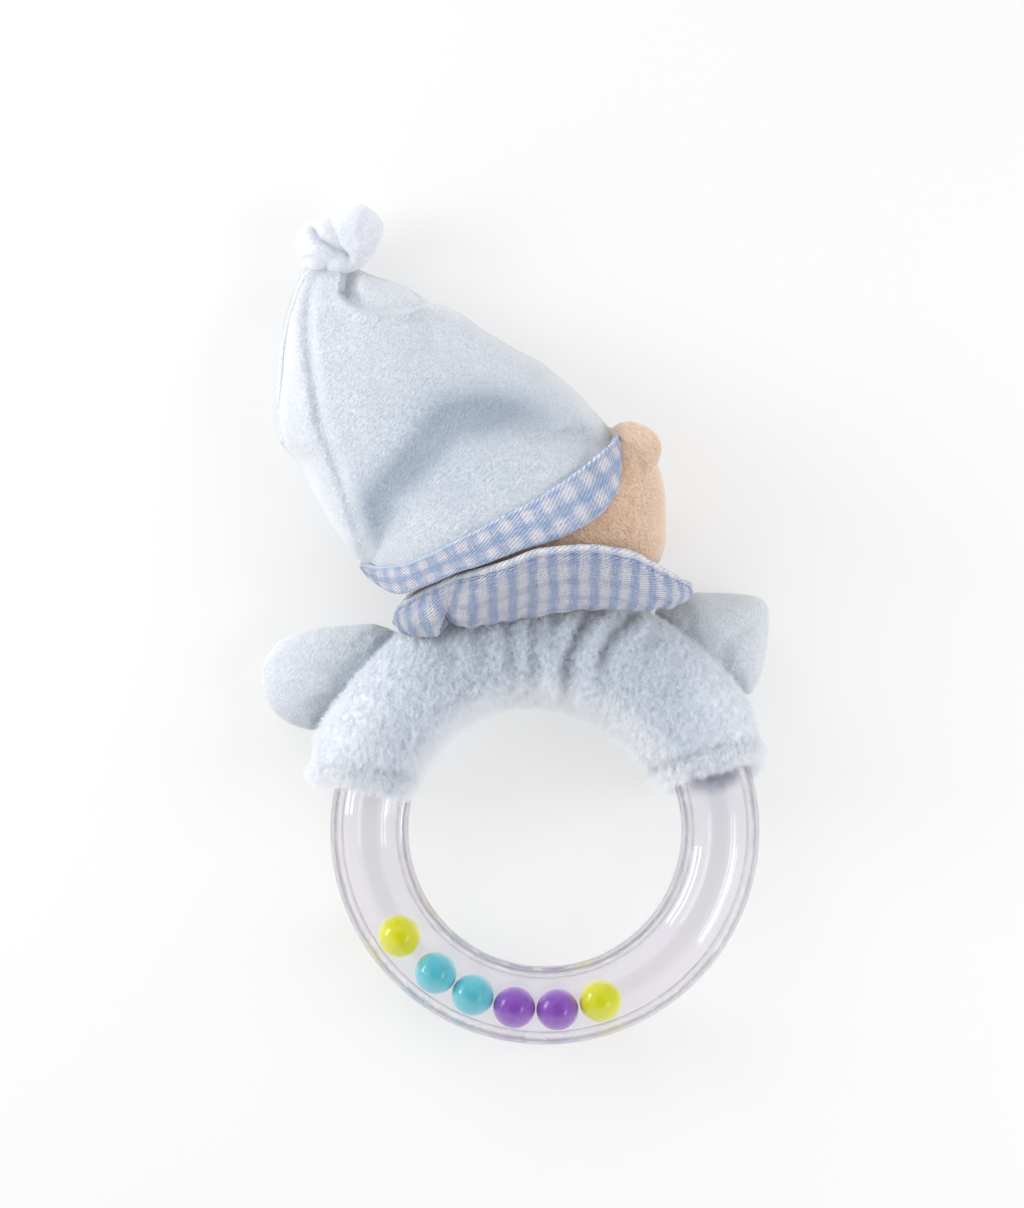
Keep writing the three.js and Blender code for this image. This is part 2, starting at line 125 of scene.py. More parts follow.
def smooth_max(first, second, width):
    share = np.clip(0.5 + 0.5 * (first - second) / width, 0, 1)
    return second * (1 - share) + first * share + width * share * (1 - share)


def bell(offset, width):
    return np.exp(-((np.asarray(offset) / width) ** 2))


def table(rows, value):
    columns = np.array(rows, float)
    return np.interp(value, columns[:, 0], columns[:, 1])


def lengths(points):
    """Distance travelled along a polyline at each of its points."""
    steps = np.linalg.norm(np.diff(points, axis=0), axis=1)
    return np.concatenate([[0], np.cumsum(steps)])


def interp_rows(at, stations, rows):
    return np.stack([np.interp(at, stations, column) for column in rows.T], 1)


def closed_rows(rows):
    return np.vstack([rows, rows[:1]])


def spline(points, count, closed=False):
    """Uniform Catmull-Rom curve through points, as samples evenly spaced by length."""
    ctrl = np.array(points, float)
    if closed:
        ctrl = np.vstack([ctrl[-1], ctrl, ctrl[0], ctrl[1]])
    else:
        ctrl = np.vstack([2 * ctrl[0] - ctrl[1], ctrl, 2 * ctrl[-1] - ctrl[-2]])
    part = np.linspace(0, 1, 24, endpoint=False)[:, None]
    curve = []
    for i in range(1, len(ctrl) - 2):
        before, start, end, after = ctrl[i - 1 : i + 3]
        curve.append(0.5 * (
            2 * start
            + (end - before) * part
            + (2 * before - 5 * start + 4 * end - after) * part**2
            + (3 * start - before - 3 * end + after) * part**3
        ))
    curve.append(ctrl[-2][None])
    curve = np.vstack(curve)
    stations = lengths(curve)
    if closed:
        at = np.linspace(0, stations[-1], count + 1)[:-1]
    else:
        at = np.linspace(0, stations[-1], count)
    return interp_rows(at, stations, curve)


def to_curve(where, points, samples):
    """Distance in plan to an open curve through points, the side of it (+ on the right of its
    direction of travel), and how far along it (0-1)."""
    flat = np.asarray(where, float)[..., :2].reshape(-1, 2)
    curve = spline(points, samples)
    stations = lengths(curve)
    nearest = np.full(len(flat), 1e9)
    side = np.zeros(len(flat))
    along = np.zeros(len(flat))
    for k in range(len(curve) - 1):
        edge = curve[k + 1] - curve[k]
        part = np.clip(((flat - curve[k]) @ edge) / max(edge @ edge, 1e-12), 0, 1)
        offset = flat - (curve[k] + part[:, None] * edge)
        distance = np.linalg.norm(offset, axis=1)
        hit = distance < nearest
        nearest[hit] = distance[hit]
        cross = edge[0] * offset[:, 1] - edge[1] * offset[:, 0]
        side[hit] = -np.sign(cross[hit])
        travelled = stations[k] + part * (stations[k + 1] - stations[k])
        along[hit] = (travelled / stations[-1])[hit]
    return [values.reshape(np.shape(where)[:-1]) for values in (nearest, side, along)]


def reach(outline, centre, angles):
    """Distance from centre to a closed outline along each angle."""
    points = np.array(outline, float)
    farthest = np.zeros(len(angles))
    ray_x, ray_y = np.cos(angles), np.sin(angles)
    for start, end in zip(points, np.roll(points, -1, axis=0)):
        edge_x, edge_y = end - start
        to_x, to_y = start - np.array(centre)
        det = edge_x * ray_y - ray_x * edge_y
        det = np.where(abs(det) < 1e-9, 1e-9, det)
        distance = (edge_x * to_y - to_x * edge_y) / det
        part = (ray_x * to_y - ray_y * to_x) / det
        crosses = (distance > 0) & (part >= -1e-6) & (part <= 1 + 1e-6)
        farthest = np.where(crosses & (distance > farthest), distance, farthest)
    return farthest


# ------------------------------------------------------------------ mesh helpers
def axes(verts):
    """Views of the x, y and z of points: changing one in place changes the points."""
    return verts[..., 0], verts[..., 1], verts[..., 2]


def polar(radius, theta, z):
    parts = np.broadcast_arrays(radius * np.cos(theta), radius * np.sin(theta), z)
    return np.stack(parts, -1)


def turned(verts, angle):
    """Points turned about the z axis."""
    x, y, z = axes(verts)
    cos, sin = math.cos(angle), math.sin(angle)
    return np.stack([x * cos - y * sin, x * sin + y * cos, z], -1)


def ball_directions(around, rows):
    latitude = np.linspace(-np.pi / 2, np.pi / 2, rows)
    longitude = np.linspace(0, 2 * np.pi, around, endpoint=False)
    lon, lat = np.meshgrid(longitude, latitude, indexing="ij")
    return np.stack([np.cos(lat) * np.cos(lon), np.cos(lat) * np.sin(lon), np.sin(lat)], -1)


def blob(centre, radii, power, counts):
    """A superellipsoid, rounder at power 2 and boxier above."""
    directions = ball_directions(*counts)
    stretch = (np.abs(directions) ** power).sum(-1) ** (-1 / power)
    return directions * stretch[..., None] * np.array(radii) + np.array(centre)


def grid(rows, columns, wrap_rows=False, wrap_columns=False, flip=False):
    """Quads over a grid of vertices numbered row by row."""
    row, column = np.meshgrid(
        np.arange(rows if wrap_rows else rows - 1),
        np.arange(columns if wrap_columns else columns - 1),
        indexing="ij",
    )
    next_row, next_column = (row + 1) % rows, (column + 1) % columns
    quads = np.stack([
        row * columns + column,
        next_row * columns + column,
        next_row * columns + next_column,
        row * columns + next_column,
    ], -1).reshape(-1, 4)
    return quads[:, ::-1] if flip else quads


def ball_grid(counts):
    """Quads of a grid that closes round its rows and has a pole at each end of a row."""
    return grid(*counts, True, False)


def build(name, verts, faces, materials, uv=None, weld=False, painted_light_shade=None):
    """Makes an object. uv is one (u, v) in mm per vertex; painted_light_shade is the painted shade
    at each vertex, darkest at 1, with painted light where it is below 0."""
    mesh = bpy.data.meshes.new(name)
    faces = faces.tolist() if isinstance(faces, np.ndarray) else faces
    mesh.from_pydata(world(verts).reshape(-1, 3).tolist(), [], faces)
    if uv is not None:
        layer = mesh.uv_layers.new(name="UVMap")
        loops = np.zeros(len(mesh.loops), np.int32)
        mesh.loops.foreach_get("vertex_index", loops)
        layer.data.foreach_set("uv", np.asarray(uv, np.float32)[loops].ravel())
    # painted shade and painted light, stored per vertex for the cloth materials
    if painted_light_shade is not None:
        attribute = mesh.attributes.new("painted_light_shade", "FLOAT", "POINT")
        attribute.data.foreach_set("value", np.asarray(painted_light_shade, np.float32).ravel())
    mesh.validate()
    piece = bpy.data.objects.new(name, mesh)
    bpy.context.scene.collection.objects.link(piece)
    for material in materials:
        mesh.materials.append(material)
    editor = bmesh.new()
    editor.from_mesh(mesh)
    if weld:
        bmesh.ops.remove_doubles(editor, verts=editor.verts, dist=2e-6)
        bmesh.ops.dissolve_degenerate(editor, edges=editor.edges, dist=1e-7)
    bmesh.ops.recalc_face_normals(editor, faces=editor.faces)
    editor.to_mesh(mesh)
    editor.free()
    mesh.polygons.foreach_set("use_smooth", np.ones(len(mesh.polygons), bool))
    mesh.update()
    return piece


def register(piece, replaces=(), ride=None, blend=None):
    if replaces:
        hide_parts(*replaces)
    if ride:
        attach(piece, ride)
    if blend:
        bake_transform(piece)


def join(parts):
    """Joins (verts, faces) pairs into one."""
    verts, faces, count = [], [], 0
    for part_verts, part_faces in parts:
        verts.append(part_verts)
        faces += [[int(index) + count for index in face] for face in part_faces]
        count += len(part_verts)
    return np.vstack(verts), faces


def set_all(target, **values):
    for key, value in values.items():
        setattr(target, key, value)


def read_verts(mesh):
    flat = np.zeros(len(mesh.vertices) * 3, np.float32)
    mesh.vertices.foreach_get("co", flat)
    return flat.reshape(-1, 3).astype(float)


def write_verts(mesh, verts):
    mesh.vertices.foreach_set("co", verts.astype(np.float32).ravel())


# ------------------------------------------------------------------ padding simulation
PUFF_SCALE = 20.0
PUFF_FRAMES = 18
PUFF_FLOOR = 0.12  # lowest height of a padded piece
PUFF_CLOTH = dict(
    quality=6,
    mass=0.25,
    tension_stiffness=12,
    compression_stiffness=12,
    shear_stiffness=6,
    bending_stiffness=0.4,
    use_pressure=True,
    uniform_pressure_force=4.0,
    vertex_group_mass="sewn",
)


def puff(piece, pinned, cap, grow, voxel=1.1):
    """Fills a padded piece out with a short cloth simulation, run enlarged on a remeshed copy,
    and moves the piece's own vertices by the result, at most cap mm. pinned(x, y, z) in mm is 1
    where the cover is sewn down; grow is the share the cloth stretches by."""
    scene = bpy.context.scene
    mesh = piece.data
    verts = read_verts(mesh)
    middle = (verts.min(0) + verts.max(0)) / 2
    shell = mesh.copy()
    write_verts(shell, (verts - middle) * PUFF_SCALE)
    shell_piece = bpy.data.objects.new("padding_shell", shell)
    scene.collection.objects.link(shell_piece)
    remesh = shell_piece.modifiers.new("remesh", "REMESH")
    remesh.mode = "VOXEL"
    remesh.voxel_size = voxel / 1000 * PUFF_SCALE
    evaluated = shell_piece.evaluated_get(bpy.context.evaluated_depsgraph_get())
    solid = bpy.data.meshes.new_from_object(evaluated)
    bpy.data.objects.remove(shell_piece)
    bpy.data.meshes.remove(shell)

    sim = bpy.data.objects.new("padding_sim", solid)
    scene.collection.objects.link(sim)
    rest = read_verts(solid)
    places = (rest / PUFF_SCALE + middle - RING_CENTRE) * 1000
    weights = np.clip(pinned(*axes(places)), 0, 1)
    group = sim.vertex_groups.new(name="sewn")
    for i in np.nonzero(weights > 0.02)[0]:
        group.add([int(i)], float(weights[i]), "REPLACE")
    cloth = sim.modifiers.new("cloth", "CLOTH")
    set_all(cloth.settings, shrink_min=-grow, **PUFF_CLOTH)
    cloth.settings.effector_weights.gravity = 0
    set_all(cloth.collision_settings, use_collision=False, use_self_collision=False)
    set_all(cloth.point_cache, frame_start=1, frame_end=PUFF_FRAMES)
    for k in range(1, PUFF_FRAMES + 1):
        scene.frame_set(k)
    evaluated = sim.evaluated_get(bpy.context.evaluated_depsgraph_get())
    filled = read_verts(evaluated.to_mesh())
    evaluated.to_mesh_clear()

    move = (filled - rest) / PUFF_SCALE * 1000
    move[~np.isfinite(move).all(axis=1)] = 0
    size = np.linalg.norm(move, axis=1, keepdims=True)
    move *= np.minimum(1, cap / np.maximum(size, 1e-9))
    tree = kdtree.KDTree(len(rest))
    for i, place in enumerate(rest):
        tree.insert(place, i)
    tree.balance()
    for k, place in enumerate((verts - middle) * PUFF_SCALE):
        near = tree.find_n(place, 5)
        weight = np.array([1 / (distance + 1e-4) for _, _, distance in near])
        weight = (weight / weight.sum())[:, None]
        verts[k] += (move[[index for _, index, _ in near]] * weight).sum(0) / 1000
    verts[:, 2] = np.maximum(verts[:, 2], PUFF_FLOOR / 1000)
    write_verts(mesh, verts)
    mesh.update()
    bpy.data.objects.remove(sim)
    bpy.data.meshes.remove(solid)
    scene.frame_set(1)


# ------------------------------------------------------------------ shader helpers
def srgb(rgb):
    """Linear colour from 0-255 sRGB values."""
    shares = [value / 255.0 for value in rgb]
    linear = [c / 12.92 if c <= 0.04045 else ((c + 0.055) / 1.055) ** 2.4 for c in shares]
    return (*linear, 1.0)


class Nodes:
    """Adds nodes to a tree. Any input takes a plain value or another node's output."""

    def __init__(self, tree):
        self.tree = tree

    def put(self, socket, value):
        if isinstance(value, bpy.types.NodeSocket):
            self.tree.links.new(value, socket)
        else:
            socket.default_value = value

    def node(self, kind, inputs=None, **attributes):
        node = self.tree.nodes.new("ShaderNode" + kind)
        set_all(node, **attributes)
        for key, value in (inputs or {}).items():
            self.put(node.inputs[key], value)
        return node

    def math(self, operation, *values, clamp=False):
        inputs = dict(enumerate(values))
        return self.node("Math", inputs, operation=operation, use_clamp=clamp).outputs[0]

    def mul(self, first, second, clamp=False):
        return self.math("MULTIPLY", first, second, clamp=clamp)

    def add(self, first, second):
        return self.math("ADD", first, second)

    def sub(self, first, second):
        return self.math("SUBTRACT", first, second)

    def scaled(self, value, factor, offset):
        return self.math("MULTIPLY_ADD", value, factor, offset)

    def rise(self, high, low, width):
        """(high - low) / width, clamped to 0-1."""
        return self.math("DIVIDE", self.sub(high, low), width, clamp=True)

    def mix(self, share, first, second, blend="MIX"):
        inputs = {0: share, 6: first, 7: second}
        return self.node("Mix", inputs, data_type="RGBA", blend_type=blend).outputs[2]

    def mix_shader(self, share, first, second):
        return self.node("MixShader", {0: share, 1: first, 2: second}).outputs[0]

    def ramp(self, value, *stops):
        """Grey ramp between two (position, level) stops."""
        node = self.node("ValToRGB", {0: value})
        for element, (position, level) in zip(node.color_ramp.elements, stops):
            element.position = position
            element.color = (level, level, level, 1)
        return node.outputs[0]

    def coords(self, scale=(1000, 1000, 1000), rotation=(0, 0, 0), which="Object"):
        """Texture coordinates; the default scale turns metres into millimetres."""
        source = self.node("TexCoord").outputs[which]
        inputs = {0: source, "Scale": scale, "Rotation": rotation}
        return self.node("Mapping", inputs).outputs[0]

    def noise(self, where, scale, detail=2, rough=0.5, distortion=0.0):
        inputs = {
            "Vector": where, "Scale": scale, "Detail": detail,
            "Roughness": rough, "Distortion": distortion,
        }
        return self.node("TexNoise", inputs).outputs[0]

    def bump(self, height, strength, distance):
        inputs = {"Height": height, "Strength": strength, "Distance": distance}
        return self.node("Bump", inputs).outputs[0]

    def facing(self, blend):
        return self.node("LayerWeight", {"Blend": blend}).outputs["Facing"]

    def principled(self, **inputs):
        inputs = {key.replace("_", " "): value for key, value in inputs.items()}
        return self.node("BsdfPrincipled", inputs).outputs[0]


class Material(Nodes):
    def __init__(self, name):
        self.material = bpy.data.materials.new(name)
        self.material.use_nodes = True
        super().__init__(self.material.node_tree)
        self.tree.nodes.clear()
        self.output = self.node("OutputMaterial")

    def finish(self, shader):
        self.put(self.output.inputs[0], shader)
        return self.material


# ------------------------------------------------------------------ materials
def pile_cloth(name, light, mid, dark, grain, rim, bump, shade=None, lean=50.0, depth=0.00022):
    """Brushed pile: short tufts of `grain` mm laid along `lean` (degrees in plan), faint
    mottling towards `shade`, a painted sheen of `rim` at a grazing angle, painted shade and light
    by painted_light_shade."""
    mat = Material(name)
    light, mid, dark, shade = (srgb(rgb) for rgb in (light, mid, dark, shade or dark))
    where = mat.coords()
    laid = mat.coords(rotation=(0, 0, math.radians(-lean)))
    tufts = mat.node("Mapping", {0: laid, "Scale": (0.42, 1.0, 0.8)}).outputs[0]
    warp = mat.noise(where, scale=0.9)
    fine = mat.noise(tufts, scale=1 / grain, rough=0.6, distortion=0.35)
    finer = mat.noise(tufts, scale=2.2 / grain, rough=0.6, distortion=0.2)
    broad = mat.noise(where, scale=0.11)
    tone = mat.scaled(fine, factor=0.6, offset=mat.mul(finer, 0.4))
    tone = mat.scaled(mat.sub(warp, 0.5), factor=0.14, offset=tone)
    colour = mat.mix(mat.ramp(tone, (0.34, 0.0), (0.62, 1.0)), dark, mid)
    colour = mat.mix(mat.ramp(broad, (0.35, 0.0), (0.7, 0.35)), colour, shade)
    # painted sheen: lighter towards `light` at a grazing angle, by up to `rim`
    grazing = mat.math("POWER", mat.facing(blend=0.4), 1.25)
    colour = mat.mix(mat.mul(grazing, rim, clamp=True), colour, light)
    # painted shade and painted light: the attribute darkens towards painted_shade_tint or lightens
    # towards `light`
    painted_light_shade = mat.node("Attribute", attribute_name="painted_light_shade").outputs["Fac"]
    painted_shade_tint = (0.50, 0.555, 0.62, 1)
    colour = mat.mix(mat.mul(painted_light_shade, 1.0, clamp=True), colour, painted_shade_tint, "MULTIPLY")
    colour = mat.mix(mat.mul(painted_light_shade, -1.0, clamp=True), colour, light)
    return mat.finish(mat.principled(
        Base_Color=colour,
        Roughness=mat.scaled(fine, factor=0.12, offset=0.84),
        Normal=mat.bump(tone, strength=bump, distance=depth),
        Sheen_Weight=0.35,
        Sheen_Roughness=0.42,
        Sheen_Tint=light,
        Specular_IOR_Level=0.12,
    ))


def fibre(name, light, dark):
    """Single matt fibres that pass a little light, with painted light at the sleeve's inner edge
    and ends.
    """
    mat = Material(name)
    light, dark = srgb(light), srgb(dark)
    hair = mat.node("HairInfo").outputs
    colour = mat.mix(hair["Random"], dark, light)
    colour = mat.mix(mat.mul(hair["Intercept"], 0.6), colour, light)
    place = mat.node("SeparateXYZ", {0: mat.coords()}).outputs
    from_x = mat.sub(place[0], float(RING_CENTRE[0]) * 1000)
    from_y = mat.sub(place[1], float(RING_CENTRE[1]) * 1000)
    radius = mat.math("SQRT", mat.add(mat.mul(from_x, from_x), mat.mul(from_y, from_y)))
    # painted light: each fades in over a width in mm, up to its own strength
    inner = mat.mul(mat.rise(34.5, radius, width=6.0), 0.9)
    left = mat.mul(mat.rise(-27.0, from_x, width=16.0), 0.75)
    right = mat.mul(mat.rise(from_x, 22.0, width=20.0), 0.6)
    paler = mat.math("MAXIMUM", inner, mat.math("MAXIMUM", left, right))
    colour = mat.mix(paler, colour, light)
    diffuse = mat.node("BsdfDiffuse", {"Color": colour}).outputs[0]
    through = mat.node("BsdfTranslucent", {"Color": colour}).outputs[0]
    return mat.finish(mat.mix_shader(0.35, diffuse, through))


def gingham(name, period, stripe, weft_bands, blue, white, warp_part, weft_part, soft, painted_hems):
    """Woven check from UVs in mm: blue warp stripes across u, one every period, and blue weft at
    the weft_bands of v, with edges softened over `soft`. Fine diagonal ribs and slubs lie over
    both. painted_hems are (from, to, lift) of v: bands of painted highlight or painted shade."""
    rib_pitch = 0.60
    mat = Material(name)
    blue, white = srgb(blue), srgb(white)
    uv = mat.node("TexCoord").outputs["UV"]
    where = mat.coords()
    wobble = mat.noise(where, scale=0.5)
    fuzz = mat.noise(where, scale=3.0, detail=3, rough=0.65)
    slub_u = mat.noise(mat.coords((2.7, 0.30, 1), which="UV"), scale=1.0, rough=0.6)
    slub_v = mat.noise(mat.coords((0.30, 2.7, 1), which="UV"), scale=1.0, rough=0.6)
    clean_u, clean_v, _ = mat.node("SeparateXYZ", {0: uv}).outputs
    # threads wander by these amounts, in mm
    shift = mat.mul(mat.sub(wobble, 0.5), 0.8)
    stray = mat.mul(mat.sub(fuzz, 0.5), 0.9)
    worn_u = mat.add(mat.add(clean_u, shift), stray)
    worn_v = mat.add(mat.add(clean_v, mat.mul(shift, 0.5)), stray)

    def band(value, low, high):
        start = mat.rise(value, low - soft, width=2 * soft)
        return mat.mul(start, mat.rise(high + soft, value, width=2 * soft))

    in_period = mat.mul(mat.math("FRACT", mat.math("DIVIDE", worn_u, period)), period)
    warp = band(in_period, 0.5 * (period - stripe), 0.5 * (period + stripe))
    weft = band(worn_v, *weft_bands[0])
    for low, high in weft_bands[1:]:
        weft = mat.math("MAXIMUM", weft, band(worn_v, low, high))
    greyer = tuple(channel * 0.80 for channel in white[:3]) + (1.0,)
    ground = mat.mix(mat.mul(fuzz, 0.6, clamp=True), white, greyer)
    # ribs run on a diagonal of slope 0.45
    across_v = mat.add(clean_v, mat.mul(stray, 0.3))
    diagonal = mat.add(mat.mul(clean_u, -0.45), across_v)
    rib = mat.math("SINE", mat.mul(diagonal, 2 * math.pi / rib_pitch))
    face = mat.scaled(rib, factor=0.30, offset=1.0)
    dyed = mat.add(mat.mul(warp, warp_part), mat.mul(weft, weft_part))
    dyed = mat.mul(mat.math("MINIMUM", dyed, 1.0), face, clamp=True)
    colour = mat.mix(dyed, ground, blue)
    threads = mat.sub(mat.add(slub_u, slub_v), 1.0)
    lift = mat.scaled(rib, factor=0.34, offset=mat.mul(threads, 1.1))
    # the hems add painted highlight and painted shade to lift, which also carries the weave's ribs
    # and slubs
    for low, high, strength in painted_hems:
        lift = mat.scaled(band(clean_v, low, high), factor=strength, offset=lift)
    colour = mat.mix(mat.mul(lift, 1.0, clamp=True), colour, srgb((240, 242, 248)))
    colour = mat.mix(mat.mul(lift, -1.0, clamp=True), colour, srgb((104, 122, 166)))
    # relief is the ribs, the fuzz and the slubs
    relief = mat.add(mat.mul(fuzz, 1.2), mat.mul(threads, 1.5))
    relief = mat.add(mat.mul(rib, 0.8), relief)
    return mat.finish(mat.principled(
        Base_Color=colour,
        Roughness=mat.scaled(fuzz, factor=0.15, offset=0.75),
        Normal=mat.bump(relief, strength=0.9, distance=0.00018),
        Sheen_Weight=0.2,
        Sheen_Roughness=0.5,
        Specular_IOR_Level=0.15,
    ))


def thread(name, light, dark):
    mat = Material(name)
    twist = mat.noise(mat.coords(), scale=4.0, rough=0.6)
    shade = mat.ramp(twist, (0.3, 0.0), (0.7, 1.0))
    return mat.finish(mat.principled(
        Base_Color=mat.mix(shade, srgb(dark), srgb(light)),
        Roughness=0.6,
        Normal=mat.bump(twist, strength=0.5, distance=0.0001),
        Sheen_Weight=0.3,
        Specular_IOR_Level=0.35,
    ))


def clear_plastic(name):
    """Glass that thins to a bare tint at its edges and lets shadow and diffuse rays through."""
    mat = Material(name)
    ripple = mat.noise(mat.coords(), scale=0.12)
    scuff = mat.noise(mat.coords(), scale=1.4, detail=4, rough=0.6)
    scuffed = mat.ramp(scuff, (0.55, 0.0), (0.8, 1.0))
    glass = mat.node("BsdfGlass", {
        "Color": (0.966, 0.961, 0.974, 1),
        "IOR": 1.47,
        "Roughness": mat.scaled(scuffed, factor=0.05, offset=0.012),
        "Normal": mat.bump(ripple, strength=0.03, distance=0.0002),
    }).outputs[0]
    unseen = mat.node("BsdfTransparent", {"Color": (0.985, 0.984, 0.99, 1)}).outputs[0]
    ray = mat.node("LightPath").outputs
    passing = mat.math("MAXIMUM", ray["Is Shadow Ray"], ray["Is Diffuse Ray"])
    skin = mat.node("BsdfTransparent", {"Color": (0.975, 0.965, 0.982, 1)}).outputs[0]
    grazing = mat.math("POWER", mat.facing(blend=0.5), 2.0)
    body = mat.mix_shader(mat.mul(grazing, 0.95, clamp=True), glass, skin)
    return mat.finish(mat.mix_shader(passing, body, unseen))


def bead_plastic(name, core, edge, deep):
    """Glossy, slightly milky plastic with swirls of a deeper colour and a painted reflection on its
    edge.
    """
    mat = Material(name)
    where = mat.coords()
    swirl = mat.noise(where, scale=0.35, detail=3, distortion=1.2)
    grazing = mat.math("POWER", mat.facing(blend=0.5), 1.7)
    colour = mat.mix(mat.ramp(swirl, (0.35, 0.0), (0.75, 0.5)), srgb(core), srgb(deep))
    return mat.finish(mat.principled(
        # painted reflection: lighter towards `edge` at a grazing angle
        Base_Color=mat.mix(grazing, colour, srgb(edge)),
        Roughness=0.16,
        Normal=mat.bump(mat.noise(where, scale=0.8), strength=0.05, distance=0.0002),
        Subsurface_Weight=0.35,
        Subsurface_Radius=(0.002, 0.002, 0.002),
        Subsurface_Scale=1.0,
        IOR=1.5,
        Coat_Weight=0.5,
        Coat_Roughness=0.06,
    ))


velour = pile_cloth(
    "velour_blue", light=(246, 248, 252), mid=(239, 243, 249), dark=(184, 196, 212),
    shade=(204, 209, 220), grain=0.34, rim=0.9, bump=1.0, depth=0.0008,
)
velour_tip = pile_cloth(
    "velour_blue_tip", light=(244, 244, 249), mid=(234, 235, 241), dark=(200, 207, 219),
    shade=(222, 227, 236), grain=0.36, rim=0.9, bump=0.8, depth=0.0004,
)
velour_arm = pile_cloth(
    "velour_blue_arm", light=(239, 240, 244), mid=(221, 226, 232), dark=(180, 191, 204),
    shade=(200, 207, 218), grain=0.36, rim=0.85, bump=1.0, depth=0.0006,
)
plush = pile_cloth(
    "plush_blue", light=(250, 251, 254), mid=(222, 229, 238), dark=(196, 207, 220),
    shade=(208, 217, 228), grain=0.55, rim=0.8, bump=0.7, depth=0.0004,
)
plush_fibre = fibre("plush_fibre", light=(250, 251, 253), dark=(208, 217, 228))
beige = pile_cloth(
    "velour_beige", light=(248, 231, 217), mid=(238, 208, 184), dark=(184, 147, 120),
    shade=(212, 178, 151), grain=0.38, rim=0.85, bump=1.0, lean=-38.0, depth=0.0006,
)
cream = pile_cloth(
    "velour_cream", light=(247, 236, 222), mid=(233, 216, 197), dark=(214, 193, 171),
    grain=0.4, rim=0.6, bump=0.45,
)
COLLAR_PERIOD = 4.3
BAND_PERIOD = 4.9
collar_cloth = gingham(
    "gingham_collar", COLLAR_PERIOD, stripe=2.0,
    weft_bands=[(-3.0, -1.0), (2.4, 4.2), (7.6, 9.4), (12.8, 14.4)],
    blue=(136, 158, 199), white=(222, 221, 230), warp_part=0.82, weft_part=0.30, soft=0.46,
    # painted highlight on the rolled hem and painted shade in the groove just below it
    painted_hems=[(15.6, 17.8, 0.50), (14.95, 15.15, -0.75)],
)
band_cloth = gingham(
    "gingham_band", BAND_PERIOD, stripe=2.5,
    weft_bands=[(-2.0, 0.9), (2.95, 4.45), (6.5, 9.0)],
    blue=(143, 168, 208), white=(230, 228, 238), warp_part=0.60, weft_part=0.72, soft=0.44,
    # painted highlight along both edges
    painted_hems=[(-1.0, 0.25, 0.5), (7.0, 9.0, 0.45)],
)
brown_thread = thread("thread_brown", light=(120, 86, 68), dark=(78, 54, 44))
blue_thread = thread("thread_blue", light=(196, 210, 235), dark=(150, 172, 212))
ring_clear = clear_plastic("ring_clear")
# each bead's edge colour is its painted rim reflection
bead_materials = {
    "yellow": bead_plastic(
        "bead_yellow", core=(212, 214, 0), edge=(238, 236, 90), deep=(196, 202, 0)
    ),
    "teal": bead_plastic(
        "bead_teal", core=(88, 188, 200), edge=(160, 220, 228), deep=(66, 168, 184)
    ),
    "purple": bead_plastic(
        "bead_purple", core=(136, 78, 180), edge=(184, 148, 214), deep=(112, 54, 160)
    ),
}

# ------------------------------------------------------------------ ring
# Two half tubes meet on a flat joint: tongues on the lower half, grooves in the upper.
TUBE_IN = 5.9
JOINT_OFFSET = 7.05  # tongue and groove centres, from the tube's centre
TONGUE = (0.35, 0.7)  # half width, height
GROOVE = (0.6, 1.0)  # half width, depth
HALF_GAP = 0.06


def arc(radius, start, end, count):
    angle = np.radians(np.linspace(start, end, count))
    return np.stack([radius * np.cos(angle), radius * np.sin(angle)], 1)


def ring_half(name, node, side, half_width, level):
    """side is 1 for the upper half and -1 for the lower."""
    edge = side * HALF_GAP
    outer = math.degrees(math.asin(HALF_GAP / TUBE_R))
    inner = math.degrees(math.asin(HALF_GAP / TUBE_IN))
    step = np.array([
        [-half_width, edge], [-half_width, level], [half_width, level], [half_width, edge],
    ])
    offset = np.array([JOINT_OFFSET, 0.0])
    profile = np.vstack([
        arc(TUBE_R, side * outer, side * (180 - outer), 44),
        step - offset,
        arc(TUBE_IN, side * (180 - inner), side * inner, 32),
        step + offset,
    ])
    around = detail(576, 288)
    theta = np.linspace(0, 2 * np.pi, around, endpoint=False)[:, None]
    verts = polar(RING_R + profile[:, 0], theta, TUBE_Z + profile[:, 1])
    half = build(name, verts, grid(around, len(profile), True, True), [ring_clear])
    half.data.set_sharp_from_angle(angle=math.radians(32))
    register(half, [node], ride="ring")


ring_half("ring_upper_half", "ring_shell_upper", 1, *GROOVE)
ring_half("ring_lower_half", "ring_shell_lower", -1, *TONGUE)

# ------------------------------------------------------------------ beads
BEAD_R = 4.45
BEAD_COUNTS = (64, 34)
BEADS = [
    ("yellow", "left"), ("teal", "left"), ("teal", "right"),
    ("purple", "left"), ("purple", "right"), ("yellow", "right"),
]


